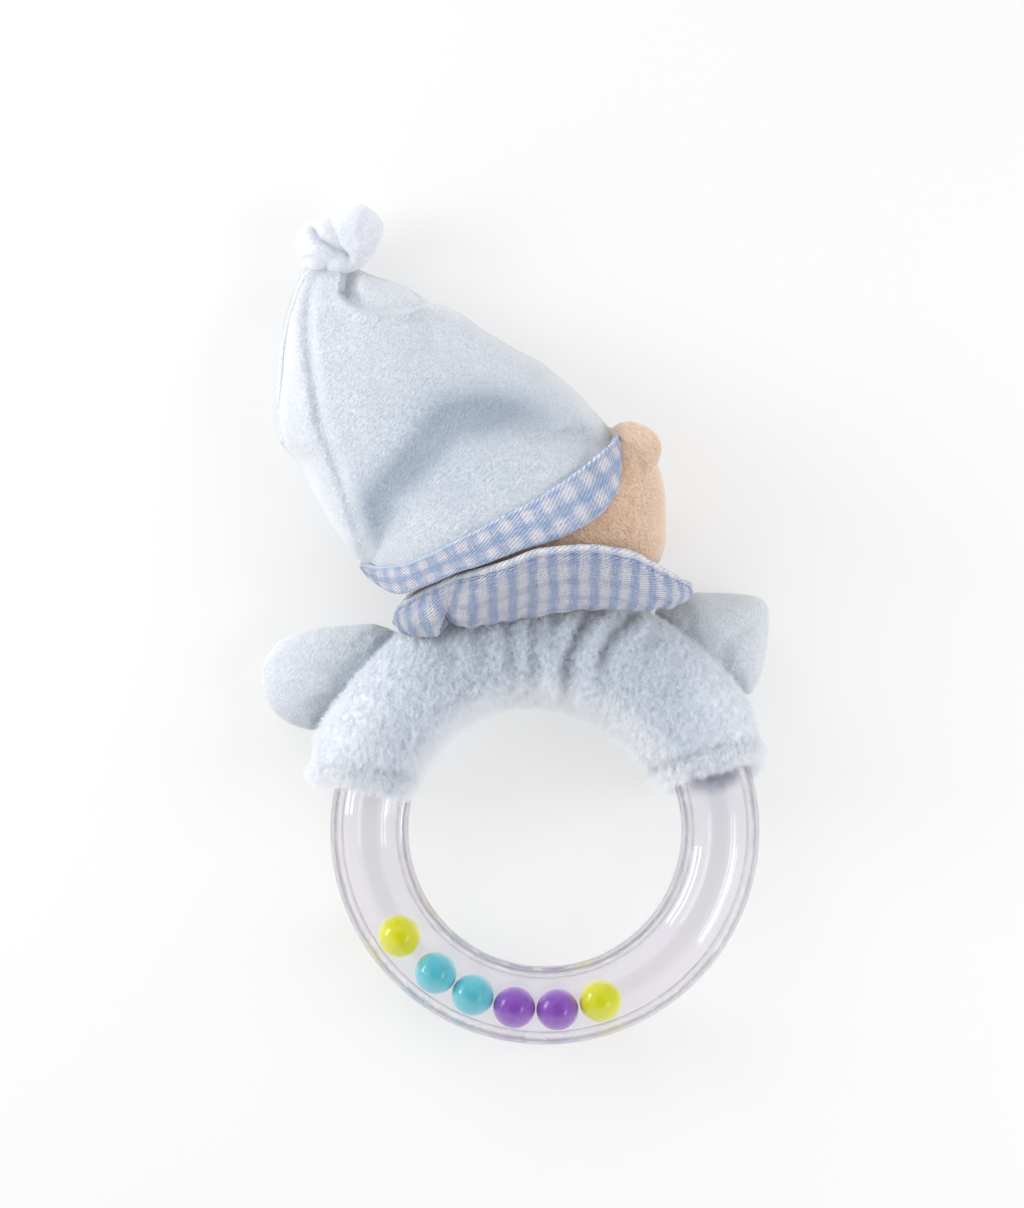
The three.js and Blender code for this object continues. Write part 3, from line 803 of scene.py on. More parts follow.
def bead(order, hue, side):
    """A ball with a raised mould line and marks at its poles, each bead tumbled its own way."""
    node = f"bead_{hue}_{side}"
    low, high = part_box(node)
    centre = (np.array(low) + np.array(high)) / 2 * 1000 - RING_CENTRE * 1000
    latitude = np.linspace(-np.pi / 2, np.pi / 2, BEAD_COUNTS[1])
    radius = (
        BEAD_R
        + 0.035 * bell(latitude, 0.035)
        + 0.05 * bell(np.pi / 2 - latitude, 0.14)
        - 0.07 * bell(np.pi / 2 + latitude, 0.16)
    )
    verts = (ball_directions(*BEAD_COUNTS) * radius[:, None]).reshape(-1, 3)
    roll, pitch = 0.9 + 1.3 * order, 0.5 + 0.7 * order
    about_x = np.array([
        [1, 0, 0],
        [0, np.cos(roll), -np.sin(roll)],
        [0, np.sin(roll), np.cos(roll)],
    ])
    about_y = np.array([
        [np.cos(pitch), 0, np.sin(pitch)],
        [0, 1, 0],
        [-np.sin(pitch), 0, np.cos(pitch)],
    ])
    verts = verts @ (about_x @ about_y).T + centre
    faces = ball_grid(BEAD_COUNTS)
    ball = build(f"ball_{hue}_{side}", verts, faces, [bead_materials[hue]], weld=True)
    register(ball, [node], ride=f"{hue}_bead_{side}")


for k, (hue, side) in enumerate(BEADS):
    bead(k, hue, side)

# ------------------------------------------------------------------ sleeve round the ring
SLEEVE_Z = 10.5
SLEEVE_HALF_HEIGHT = 11.0
SLEEVE_POWER = 2.25  # superellipse power of the section
SLEEVE_WALL = 1.7
# degrees round the ring, radius in mm
SLEEVE_OUT = [
    (10, 47.2), (19, 48.0), (27, 49.4), (35, 50.2), (64, 50.2), (90, 50.4),
    (124, 51.4), (130, 51.0), (158, 51.4), (166, 50.2),
]
SLEEVE_IN = [
    (10, 25.6), (27, 25.4), (46, 25.1), (63, 26.0), (76, 26.6), (90, 27.3),
    (106, 27.9), (120, 28.3), (134, 28.2), (149, 28.8), (166, 29.6),
]
# creases on the back: (x, y) points, depth, width
SLEEVE_CREASES = [
    ([(-8.0, 44.5), (-7.6, 40), (-7.2, 34), (-7.0, 30)], 0.9, 1.5),
    ([(-2.6, 45.5), (-2.8, 40), (-2.6, 34), (-2.4, 28)], 0.8, 1.3),
    ([(2.4, 45.5), (1.6, 41), (1.4, 36)], 0.6, 1.2),
    ([(9.2, 45.4), (6.4, 40.4), (4.6, 35.4), (4.3, 30.6), (4.6, 26.0)], 2.0, 1.6),
    ([(19.8, 46.6), (16.6, 43.7), (14.0, 41.3), (12.1, 38.4), (11.1, 35.2), (10.6, 31.6)],
     1.9, 1.5),
    ([(24.0, 42.8), (20.5, 38.8), (18.8, 34.5)], 0.4, 2.2),
    ([(-14.5, 43.0), (-13.6, 38.5), (-12.0, 33.5)], 0.6, 2.0),
    ([(-22.0, 41.5), (-20.0, 37.5), (-19.0, 34.0)], 0.6, 2.2),
]


def sleeve_radii(theta):
    """Middle radius and half width of the sleeve at an angle round the ring."""
    degrees = np.degrees(theta)
    out, inn = table(SLEEVE_OUT, degrees), table(SLEEVE_IN, degrees)
    return (out + inn) / 2, (out - inn) / 2


def sleeve_point(theta, phi, inset=0.0):
    """Radius and height at theta round the ring and phi round the section, in radians; phi 0 is
    outward and a quarter turn is the back (up)."""
    middle, half_width = sleeve_radii(theta)
    half_height = SLEEVE_HALF_HEIGHT - inset + 0.5 * bell(np.degrees(theta) - 92, 30)
    power = 2 / SLEEVE_POWER
    cos, sin = np.cos(phi), np.sin(phi)
    radius = middle + (half_width - inset) * np.sign(cos) * np.abs(cos) ** power
    return radius, SLEEVE_Z + half_height * np.sign(sin) * np.abs(sin) ** power


def sleeve_wall(theta, z):
    """Outer radius of the sleeve at a height."""
    middle, half_width = sleeve_radii(theta)
    share = np.clip(np.abs(z - SLEEVE_Z) / SLEEVE_HALF_HEIGHT, 0, 0.999)
    return middle + half_width * (1 - share**SLEEVE_POWER) ** (1 / SLEEVE_POWER)


def push_off_sleeve(verts, gap, where=True):
    """Moves points outward in plan until they are gap mm off the sleeve's outer side."""
    x, y, z = axes(verts)
    theta = np.arctan2(y, x)
    push = np.where(where, np.maximum(sleeve_wall(theta, z) + gap - np.hypot(x, y), 0), 0)
    x += np.cos(theta) * push
    y += np.sin(theta) * push


def end_right(phi):
    """Angle of the right end round the section: it reaches further on the front."""
    return np.radians(24.8 - 2.8 * np.cos(phi) - 7.5 * np.clip(-np.sin(phi), 0, 1))


def end_left(phi):
    sin = np.sin(phi)
    skew = 0.6 * np.clip(sin, 0, 1) + 2.2 * np.cos(phi) - 0.8 * np.clip(-sin, 0, 1)
    return np.radians(162.0 + skew)


def sleeve_folds(where):
    """Creases, with the cloth raised beside each, as lengths along the surface normal."""
    relief = np.zeros(where.shape[:-1])
    for points, depth, width in SLEEVE_CREASES:
        distance, _, along = to_curve(where, points, 26)
        fade = smooth(-0.02, 0.12, along) * smooth(1.0, 0.6, along)
        relief -= depth * bell(distance, width) * np.clip(fade, 0.15, 1)
        relief += 0.35 * depth * bell(distance - 2.2 * width, 1.3 * width) * fade
    return relief


def sleeve_faces(rows, columns):
    """Outer and inner faces of the whole sleeve, as grids of points."""
    phi, share = np.meshgrid(
        np.linspace(0, 2 * np.pi, columns, endpoint=False) + 1e-4, np.linspace(0, 1, rows)
    )
    theta = end_right(phi) + (end_left(phi) - end_right(phi)) * share
    radius, height = sleeve_point(theta, phi)
    base = polar(radius, theta, height)
    around = np.roll(base, -1, 1) - np.roll(base, 1, 1)
    normals = np.cross(np.gradient(base, axis=0), around)
    normals /= np.maximum(np.linalg.norm(normals, axis=-1, keepdims=True), 1e-9)
    relief = sleeve_folds(base) * smooth(0.05, 0.5, np.sin(phi))
    relief += 0.55 * fractal(base, 11, 2, 1)
    relief += 0.30 * fractal(base, 2.6, 3, 2)
    # seams along the inner and outer sides, where the two panels meet
    relief -= 0.7 * bell(np.sin(phi), 0.10)
    # the ends pull in towards their hems
    relief -= 0.9 * (bell(share, 0.035) + bell(1 - share, 0.035))
    outer = base + normals * relief[..., None]
    outer[..., 2] = np.maximum(outer[..., 2], 0.05 + 0.25 * np.abs(noise(base, 1.7, 9)))
    radius, height = sleeve_point(theta, phi, SLEEVE_WALL)
    return outer, polar(radius, theta, np.maximum(height, 1.0))


def sleeve_panel(name, outer, inner, replaces):
    """A strip of the sleeve as a closed sheet: outer face, inner face and edges."""
    rows, columns = outer.shape[:2]
    verts = np.vstack([outer.reshape(-1, 3), inner.reshape(-1, 3)])
    count = rows * columns

    def rim(index):
        start, end = index[:-1], index[1:]
        return np.stack([start, end, end + count, start + count], 1)

    by_row, by_column = np.arange(rows) * columns, np.arange(columns)
    faces = np.vstack([
        grid(rows, columns),
        grid(rows, columns, flip=True) + count,
        rim(by_row),
        rim(by_row + columns - 1)[:, ::-1],
        rim(by_column)[:, ::-1],
        rim(by_column + (rows - 1) * columns),
    ])
    x, y, z = axes(verts)
    # painted shade on the back left of the middle, painted light at both ends and along the inner
    # side
    painted_light_shade = 0.27 * bell(x + 8, 20) * smooth(24, 34, y) * smooth(8, 14, z)
    painted_light_shade -= 0.42 * smooth(-26, -40, x)
    painted_light_shade -= 0.36 * smooth(26, 42, x)
    painted_light_shade -= 0.55 * smooth(33.5, 28.5, np.hypot(x, y))
    panel = build(name, verts, faces, [plush, plush_fibre], painted_light_shade=painted_light_shade)
    register(panel, replaces, ride="torso")
    return panel


def cuff(name, node, end, outward):
    """Rolled hem round a sleeve end; outward is the sense of theta that leaves the sleeve."""
    counts = (200, 20)
    phi, turn = np.meshgrid(
        *(np.linspace(0, 2 * np.pi, count, endpoint=False) for count in counts), indexing="ij"
    )
    theta = end(phi)
    radius, height = sleeve_point(theta, phi, 1.15)
    height = np.maximum(height, 1.35)
    centre = polar(radius, theta, height)
    core_radius, core_height = sleeve_point(theta, phi, 6.0)
    away = polar(radius - core_radius, theta, height - core_height)
    away /= np.linalg.norm(away, axis=-1, keepdims=True)
    tangent = np.stack([-np.sin(theta), np.cos(theta), np.zeros_like(theta)], -1) * outward
    roll = 1.15 + 0.18 * noise(centre, 4, 4) + 0.16 * noise(centre, 1.3, 5)
    stitch = 0.12 * np.cos(phi * 46)
    verts = (
        centre
        + away * (np.cos(turn) * (roll + stitch))[..., None]
        + tangent * (np.sin(turn) * roll * 1.25 + 0.5)[..., None]
    )
    verts[..., 2] = np.maximum(verts[..., 2], 0.04)
    # painted light over the whole hem
    painted_light_shade = np.full(counts, -0.6)
    hem = build(name, verts, grid(*counts, True, True), [plush, plush_fibre], painted_light_shade=painted_light_shade)
    register(hem, [node], ride="torso")
    return hem


SLEEVE_ROWS, SLEEVE_COLUMNS = detail((220, 150), (140, 96))
sleeve_outer, sleeve_inner = sleeve_faces(SLEEVE_ROWS, SLEEVE_COLUMNS)
half_round = SLEEVE_COLUMNS // 2
back_columns = np.arange(0, half_round + 1)
front_columns = np.concatenate([np.arange(half_round, SLEEVE_COLUMNS), [0]])
sleeve_back = sleeve_panel(
    "sleeve_back", sleeve_outer[:, back_columns], sleeve_inner[:, back_columns],
    ["body_back_panel", "body_padding"],
)
sleeve_front = sleeve_panel(
    "sleeve_front", sleeve_outer[:, front_columns], sleeve_inner[:, front_columns],
    ["body_front_panel"],
)
cuff_right = cuff("cuff_right", "cuff_hem_right", end_right, -1)
cuff_left = cuff("cuff_left", "cuff_hem_left", end_left, 1)

# ------------------------------------------------------------------ arms
ARM_SEAM_Z = 7.0
ARM_UP, ARM_DOWN = 6.6, 6.3
# outline and centre in plan; dimple is the (x, y) points, depth and width of a pull line on the
# back;
# painted_light_shade is painted shade and light by the distance off the sleeve; start and end are
# not read
ARMS = {
    "arm_left": dict(
        outline=[
            (-36.0, 43.2), (-43, 42.7), (-47.5, 42.3), (-51.6, 41.3), (-55.2, 39.6),
            (-57.7, 37.0), (-59.1, 33.8), (-59.1, 30.9), (-58.3, 28.0), (-56.6, 24.9),
            (-53.5, 22.5), (-49.3, 21.0), (-45, 21.5), (-38, 25), (-33, 31), (-30, 38),
            (-31, 42),
        ],
        centre=(-46.5, 32.2),
        seed=11,
        dimple=([(-57.5, 33.5), (-52, 34.6), (-46, 34.2), (-41, 33.0)], 0.5, 2.6),
        painted_light_shade=lambda gap: 0.42 * bell(gap, 2.2) - 0.20 * smooth(5, 14, gap),
        start=(-39.5, 33.0, 7),
        end=(-47.0, 32.0, 7),
    ),
    "arm_right": dict(
        outline=[
            (43.4, 28.4), (45.1, 31.3), (46.1, 34.5), (46.6, 38.0), (46.9, 42.0),
            (46.9, 45.4), (46.0, 47.9), (43.4, 48.9), (38.5, 49.4), (32.5, 49.7),
            (28.3, 49.4), (23.0, 46.0), (24, 40), (29, 33), (36, 28),
        ],
        centre=(36.8, 40.6),
        seed=14,
        dimple=([(46.2, 47.0), (41.0, 42.0), (37.5, 38.0), (36.0, 35.0)], 0.7, 2.2),
        painted_light_shade=lambda gap: -0.10 - 0.12 * smooth(2, 8, gap),
        start=(29.5, 36.0, 7),
        end=(35.5, 41.0, 7),
    ),
}


def pillow(outline, centre, seed, around, half_rows):
    """Two cloth faces meeting at a seam round an outline, as one grid from the top centre."""
    angle = np.linspace(-np.pi, np.pi, around, endpoint=False)
    radius = reach(outline, centre, angle)
    for _ in range(2):
        radius = 0.25 * np.roll(radius, 1) + 0.5 * radius + 0.25 * np.roll(radius, -1)
    top = np.sin(np.linspace(0, 1, half_rows) * np.pi / 2)
    share = np.concatenate([top, top[::-1][1:]])
    on_top = np.arange(len(share)) < half_rows
    angle, share = np.meshgrid(angle, share, indexing="ij")
    x = centre[0] + np.cos(angle) * share * radius[:, None]
    y = centre[1] + np.sin(angle) * share * radius[:, None]
    loft = np.clip(1 - share**2, 0, 1) ** 0.52
    verts = np.stack([x, y, ARM_SEAM_Z + np.where(on_top, ARM_UP, -ARM_DOWN) * loft], -1)
    verts += 0.35 * fractal(verts, 8, 3, seed)[..., None] * np.array([0.4, 0.4, 1.0])
    pinch = 0.35 * bell(1 - share, 0.035)
    verts[..., 0] -= np.cos(angle) * pinch
    verts[..., 1] -= np.sin(angle) * pinch
    return verts


def sewn_to_sleeve(x, y, z):
    return smooth(2.0, 0.3, np.hypot(x, y) - sleeve_wall(np.arctan2(y, x), z))


def arm(name, outline, centre, seed, dimple, painted_light_shade, start, end):
    counts = detail((150, 26), (90, 18))
    verts = pillow(outline, centre, seed, *counts)
    x, y, z = axes(verts)
    points, depth, width = dimple
    z -= depth * bell(to_curve(verts, points, 20)[0], width) * (z > ARM_SEAM_Z)
    # the inner side takes the shape of the sleeve it is sewn to
    push_off_sleeve(verts, -0.5)
    z[:] = np.maximum(z, 0.15)
    verts += (0.07 * noise(verts, 0.9, 5))[..., None] * np.array([0.3, 0.3, 1.0])
    gap = np.hypot(x, y) - sleeve_wall(np.arctan2(y, x), SLEEVE_Z)
    faces = ball_grid(verts.shape[:2])
    piece = build(name + "_cover_soft", verts, faces, [velour_arm], weld=True, painted_light_shade=painted_light_shade(gap))
    puff(piece, sewn_to_sleeve, cap=0.9, grow=0.06)
    replaces = [name + "_cover", name + "_stuffing"]
    register(piece, replaces, blend=("torso", name, start, end))


for name, shape in ARMS.items():
    arm(name, **shape)

# ------------------------------------------------------------------ head
FACE_X = -2.5  # middle of the face
HEAD_Z = 20.6
HEAD_CENTRE = (FACE_X, 67.0, HEAD_Z)
HEAD_RADII = (27.0, 19.3, 16.4)


def head_front(x, y, grow):
    """Height of the head's front (lower) surface, grown by some mm, and whether a point is
    over the head."""
    radii = np.array([27.0, 19.9, 16.4]) + grow
    spread = (np.abs(x - FACE_X) / radii[0]) ** 2.6 + (np.abs(y - 67.6) / radii[1]) ** 2.6
    height = HEAD_Z - radii[2] * np.clip(1 - spread, 0, 1) ** (1 / 2.6)
    return height, spread < 1


def past_cap_edge(x, y, z):
    """Distance beyond the slanted plane where the head goes under the cap."""
    return (-0.42 * x + 0.907 * y + 0.4 * z - 69.9) / 1.077


def head_sewn(x, y, z):
    return smooth(61.0, 58.0, y) + smooth(0.5, 2.5, past_cap_edge(x, y, z))


def make_head():
    counts = detail((150, 84), (96, 54))
    verts = blob(HEAD_CENTRE, HEAD_RADII, 2.7, counts)
    directions = ball_directions(*counts)
    x, y, z = axes(verts)
    # a full face: the front stands out round a point in the head's lower half
    front = np.clip(-directions[..., 2], 0, 1)
    z -= 0.9 * front * bell(np.hypot(x - FACE_X, y - 60.5), 9)
    verts += 0.30 * fractal(verts, 9, 3, 21)[..., None] * directions
    x += 1.8 * smooth(66, 54, y) * smooth(4, 22, x)
    # shallow seam on the back, to the right of the middle
    seam = -0.7 * bell(x - 15.5 - 0.10 * (y - 60), 0.9)
    seam = seam * smooth(0.25, 0.6, directions[..., 2]) * 0.35
    verts += seam[..., None] * directions
    # drawn in where the cap covers it
    draw = 4.5 * smooth(1.5, 8, past_cap_edge(x, y, z)) * smooth(18.0, 14.5, x)
    verts -= draw[..., None] * directions
    push_off_sleeve(verts, 1.3, where=(y < 60) & (z < 24))
    verts += (0.06 * noise(verts, 0.9, 6))[..., None] * directions
    head = build("head_soft", verts, ball_grid(counts), [beige], weld=True)
    puff(head, head_sewn, cap=0.35, grow=0.03, voxel=1.6)
    bend = ("torso", "head", (-2.5, 49.5, 18), (-2.5, 58.5, 18))
    register(head, ["head_cover", "head_stuffing"], blend=bend)


def make_muzzle():
    """A stuffed oval with two soft cheeks either side of a middle crease."""
    counts = (96, 50)
    verts = blob((FACE_X, 61.4, 6.2), (8.8, 7.0, 5.0), 2.2, counts)
    directions = ball_directions(*counts)
    x, y, z = axes(verts)
    front = np.clip(-directions[..., 2], 0, 1)
    side = x - FACE_X
    z -= 0.35 * bell(side + 3.6, 2.6) * front + 0.35 * bell(side - 3.6, 2.6) * front
    z += 0.5 * bell(side, 0.7) * front * (y < 61.5)
    verts += 0.18 * fractal(verts, 4, 3, 24)[..., None] * directions
    z[:] = np.maximum(z, 0.55)
    muzzle = build("muzzle_soft", verts, ball_grid(counts), [cream], weld=True)
    register(muzzle, ["muzzle"], ride="head")


make_head()
make_muzzle()


# ------------------------------------------------------------------ stitched face
def strands(paths, radius, sides):
    """Round threads along paths: closed tubes with tapered ends."""
    parts = []
    turn = np.linspace(0, 2 * np.pi, sides, endpoint=False)
    cos, sin = np.cos(turn)[None, :, None], np.sin(turn)[None, :, None]
    for path in paths:
        count = len(path)
        tangent = np.gradient(path, axis=0)
        tangent /= np.maximum(np.linalg.norm(tangent, axis=1, keepdims=True), 1e-9)
        steep = abs(tangent[:, 2]).mean() > 0.8
        across = np.cross(tangent, np.array([1.0, 0, 0] if steep else [0, 0, 1.0]))
        across /= np.maximum(np.linalg.norm(across, axis=1, keepdims=True), 1e-9)
        other = np.cross(tangent, across)
        share = np.linspace(0, 1, count)
        width = radius * np.sqrt(np.clip(1 - (2 * share - 1) ** 6, 0.02, 1))
        tube = path[:, None] + width[:, None, None] * (cos * across[:, None] + sin * other[:, None])
        faces = grid(count, sides, False, True).tolist()
        cap = count * sides
        for j in range(sides):
            after = (j + 1) % sides
            faces.append([cap, after, j])
            faces.append([cap + 1, (count - 1) * sides + j, (count - 1) * sides + after])
        parts.append((np.vstack([tube.reshape(-1, 3), path[0], path[-1]]), faces))
    return join(parts)


def satin_pad(name, node, paths, radius, centre, radii, power, counts):
    """Satin stitches over a raised pad."""
    pad = (blob(centre, radii, power, counts).reshape(-1, 3), ball_grid(counts))
    verts, faces = join([strands(paths, radius, 6), pad])
    register(build(name, verts, faces, [brown_thread]), [node], ride="head")


def make_nose():
    paths = []
    for i in range(15):
        x = -5.0 + i * 5.0 / 14
        span = math.sqrt(max(0.0, 1 - ((x - FACE_X) / 2.75) ** 2))
        y = np.linspace(64.3 - 2.0 * span * (0.75 + 0.25 * span), 64.3 + 1.6 * span, 9)
        z = 1.0 - 0.45 * span * np.cos(np.linspace(-1.2, 1.2, 9)) + 0.10 * (i % 2)
        paths.append(np.stack([np.full(9, x), y, z], 1))
    satin_pad(
        "nose_stitched", "nose", paths, 0.26,
        (FACE_X, 64.3, 1.75), (2.55, 1.75, 1.25), 2.3, (48, 26),
    )


def make_mouth():
    """Two threads twisted into a mouth, and one up to the nose."""
    lips = spline([
        (-5.4, 58.9, 1.05), (-4.0, 57.9, 0.95), (-2.5, 58.9, 0.78), (-1.0, 57.9, 0.95),
        (0.4, 58.9, 1.05),
    ], 60)
    turn = np.linspace(0, 14 * np.pi, 60)
    twist = np.stack([np.zeros(60), 0.10 * np.cos(turn), 0.10 * np.sin(turn)], 1)
    upright = spline([(-2.5, 58.9, 0.78), (-2.5, 60.4, 0.62), (-2.5, 62.6, 0.75)], 26)
    verts, faces = strands([lips + twist, lips - twist, upright], 0.2, 7)
    mouth = build("mouth_thread", verts, faces, [brown_thread])
    register(mouth, ["mouth_stitch"], ride="head")


EYE_Y = 66.5


def make_eye(name, centre_x):
    paths = []
    for i in range(11):
        x = centre_x - 1.35 + 2.7 * i / 10
        span = math.sqrt(max(0.0, 1 - ((x - centre_x) / 1.5) ** 2))
        y = np.linspace(EYE_Y - 1.75 * span, EYE_Y + 1.75 * span, 9)
        dome = 0.85 * span * np.cos(np.linspace(-1.4, 1.4, 9))
        z = head_front(np.full(9, x), y, 0.0)[0] - 0.25 - dome - 0.07 * (i % 2)
        paths.append(np.stack([np.full(9, x), y, z], 1))
    centre_z = float(head_front(centre_x, EYE_Y, 0.0)[0])
    satin_pad(
        name + "_stitched", name, paths, 0.2,
        (centre_x, EYE_Y, centre_z + 0.1), (1.4, 1.65, 1.1), 2.2, (36, 20),
    )


make_nose()
make_mouth()
make_eye("eye_left", -11.6)
make_eye("eye_right", 6.6)


# ------------------------------------------------------------------ ears
def ear(name, centre, radii, angle, seed):
    """A stuffed disc with a seam round its rim and a dished front."""
    counts = (110, 56)
    verts = blob((0, 0, 0), radii, 2.3, counts)
    directions = ball_directions(*counts)
    facing = directions[..., 2]
    x, y, z = axes(verts)
    z += 2.2 * bell(np.hypot(x, y), 3.1) * (facing < 0)
    z -= 0.8 * bell(np.hypot(x + 0.5, y + 1.6), 2.4) * (facing > 0)
    verts[..., :2] *= (1 - 0.06 * bell(facing, 0.08))[..., None]
    verts += 0.2 * fractal(verts + np.array(centre), 4.5, 3, seed)[..., None] * directions
    verts = turned(verts, angle) + np.array(centre)
    if name == "ear_right":
        # tilted, with the side under the cap lower
        x, y, z = axes(verts)
        east, north = x - centre[0], y - centre[1]
        z += 0.45 * east - 0.35 * north + 1.3 * np.minimum(east + 1.2, 0)
    # painted light over the whole ear
    painted_light_shade = np.full(counts, -0.16)
    piece = build(name + "_soft", verts, ball_grid(counts), [beige], weld=True, painted_light_shade=painted_light_shade)
    register(piece, [name], ride="head")


ear("ear_right", (17.6, 78.9, 26.3), (6.1, 6.1, 3.8), angle=-0.5, seed=31)
ear("ear_left", (-26.0, 80.6, 17.5), (5.4, 5.2, 3.2), angle=0.5, seed=33)


# ------------------------------------------------------------------ strips of folded cloth
def paired(low, high, count):
    """Samples of two closed loops, the second matched to the first by nearest distance and
    then smoothed along the loop."""
    low_line = spline(low, count, True)
    high_line = spline(high, count * 3, True)
    stations = np.linspace(0, 1, count * 3, endpoint=False)
    distance = np.linalg.norm(high_line[None] - low_line[:, None], axis=2)
    nearest = np.unwrap(stations[distance.argmin(axis=1)], period=1)
    even = np.arange(count) / count
    offset = nearest - even
    reach_each_way = 14
    kernel = np.hanning(2 * reach_each_way + 1)
    kernel /= kernel.sum()
    wrapped = np.concatenate([offset[-reach_each_way:], offset, offset[:reach_each_way]])
    at = (even + np.convolve(wrapped, kernel, "valid")) % 1.0
    return low_line, interp_rows(at, np.append(stations, 1.0), closed_rows(high_line))


def matched(low, high, count):
    """Samples of two closed loops matched control point by control point."""
    both = np.hstack([np.array(low), np.array(high)])
    return np.split(spline(both, count, True), 2, axis=1)


def there_and_back(outer, inner):
    """Closed section: across the outer face, then back along the inner one."""
    return np.concatenate([outer, inner[:, ::-1][:, 1:-1]], 1)


def strip(loops, rows, centre, bulge, thick, roll_low, roll_high, wave, seed):
    """A closed strip between two loops, bulging by bulge(sheet) mm away from centre, with its
    edges thickened by the rolls. Gives the section grid, its UVs, the middle sheet, the sheet's
    normals, and distances along the loop and across the strip."""
    low, high = loops
    share = np.linspace(0, 1, rows)
    sheet = low[:, None] * (1 - share)[None, :, None] + high[:, None] * share[None, :, None]
    around = np.roll(sheet, -1, 0) - np.roll(sheet, 1, 0)
    normals = np.cross(around, np.gradient(sheet, axis=1))
    normals /= np.linalg.norm(normals, axis=-1, keepdims=True)
    sense = np.sign((normals * (sheet - np.array(centre))).sum(-1, keepdims=True))
    normals = normals * np.where(sense == 0, 1, sense)
    swell = np.broadcast_to(bulge(sheet) * 4 * share * (1 - share), sheet.shape[:2])
    sheet = sheet + normals * swell[..., None]
    sheet = sheet + normals * (wave * fractal(sheet, 6.0, 2, seed))[..., None]
    width = np.linalg.norm(np.diff(sheet, axis=1), axis=-1)
    across = np.concatenate([np.zeros((len(sheet), 1)), np.cumsum(width, 1)], 1)
    along = lengths(sheet[:, rows // 2])
    rolls = roll_low * bell(across, 0.7) + roll_high * bell(across - across[:, -1:], 0.7)
    taper = np.sqrt(np.clip(1 - (2 * share - 1) ** 14, 0.0, 1))
    half = normals * (thick * (1 + rolls) * taper[None, :] / 2)[..., None]
    section = there_and_back(sheet + half, sheet - half)
    section_v = there_and_back(across, across)
    section_u = np.broadcast_to(along[:, None], section_v.shape)
    return section, np.stack([section_u, section_v], -1), sheet, normals, along, across


def build_loop(name, section, uv, material, period):
    """Builds a closed strip, with u fitted to whole periods so the weave runs on at the join."""
    total = uv[-1, 0, 0] + (uv[1, 0, 0] - uv[0, 0, 0])
    fit = round(total / period) * period / total
    faces = grid(*section.shape[:2], True, True)
    fitted = (uv * np.array([fit, 1.0])).reshape(-1, 2)
    loop = build(name, section, faces, [material], uv=fitted)
    layer = loop.data.uv_layers[0]
    flat = np.zeros(len(loop.data.loops) * 2, np.float32)
    layer.data.foreach_get("uv", flat)
    # quads across the join take their u from the end of the loop
    corner_u = flat.reshape(-1, 4, 2)[..., 0]
    crossing = corner_u.max(axis=1) - corner_u.min(axis=1) > total * 0.5
    corner_u[crossing[:, None] & (corner_u < total * 0.5)] += total * fit
    layer.data.foreach_set("uv", flat)
    return loop


# ------------------------------------------------------------------ cap band
# lower and upper edges, as closed loops of (x, y, z)
BAND_LOW = [
    (-36.3, 54.6, 13.2), (-34.9, 52.2, 17.5), (-31.7, 50.0, 22.0), (-29.4, 49.5, 25.2),
    (-27.3, 50.1, 28.0), (-22, 52.1, 32.4), (-17.8, 53.9, 35.2), (-13.6, 55.1, 36.6),
    (-9.4, 56.7, 37.4), (-5.2, 58.2, 37.9), (-1, 59.4, 38.1), (3.1, 60.8, 38.2),
    (7.3, 63.0, 38.2), (11.3, 65.7, 37.2), (14.0, 69.2, 35.2), (15.5, 72.3, 32.0),
    (16.3, 75.6, 26.5), (16.3, 78.2, 19.5), (15.0, 80.2, 12.2), (11.8, 80.2, 6.3),
    (6, 77.6, 3.0), (-4, 72.6, 1.9), (-14, 67.6, 2.2), (-24, 62.4, 4.2), (-31, 58.4, 7.6),
]
BAND_HIGH = [
    (-38.3, 56.6, 12.8), (-36.8, 55.7, 17.5), (-35.0, 55.2, 20.8), (-30.4, 55.6, 27.6),
    (-26.6, 56.5, 31.6), (-22, 58.5, 35.6), (-17.8, 60.6, 37.6), (-13.6, 62.7, 38.5),
    (-9.4, 65.0, 39.0), (-5.2, 67.1, 39.2), (-1, 69.4, 39.2), (3.1, 72.2, 39.0),
    (7.3, 75.1, 38.3), (10.5, 77.8, 36.8), (12.6, 79.6, 34.0), (14.0, 81.4, 29.3),
    (14.3, 82.6, 23.8), (13.8, 83.6, 17.5), (12.0, 84.4, 10.6), (8.6, 84.3, 5.8),
    (3, 82.6, 2.8), (-7, 78.2, 1.7), (-17, 73.0, 2.0), (-27, 67.5, 3.8), (-34, 62.5, 7.4),
]
BAND_COUNT = detail(420, 260)
BAND_WIDTH = 7.3  # in UVs


def make_band():
    """Builds the band and gives the line under its middle that the cap is tucked to."""
    section, uv, sheet, normals, _, across = strip(
        paired(BAND_LOW, BAND_HIGH, BAND_COUNT), rows=22, centre=(-8, 70, 18),
        bulge=lambda sheet: 0.45, thick=1.15, roll_low=0.55, roll_high=0.45, wave=0.22, seed=41,
    )
    uv[..., 1] *= BAND_WIDTH / across[:, -1:]
    section[..., 2] = np.maximum(section[..., 2], 0.3)
    band = build_loop("cap_band", section, uv, band_cloth, BAND_PERIOD)
    register(band, ["hat_band"], ride="head")
    return sheet[:, 12] - normals[:, 12] * 0.9


tuck_line = make_band()

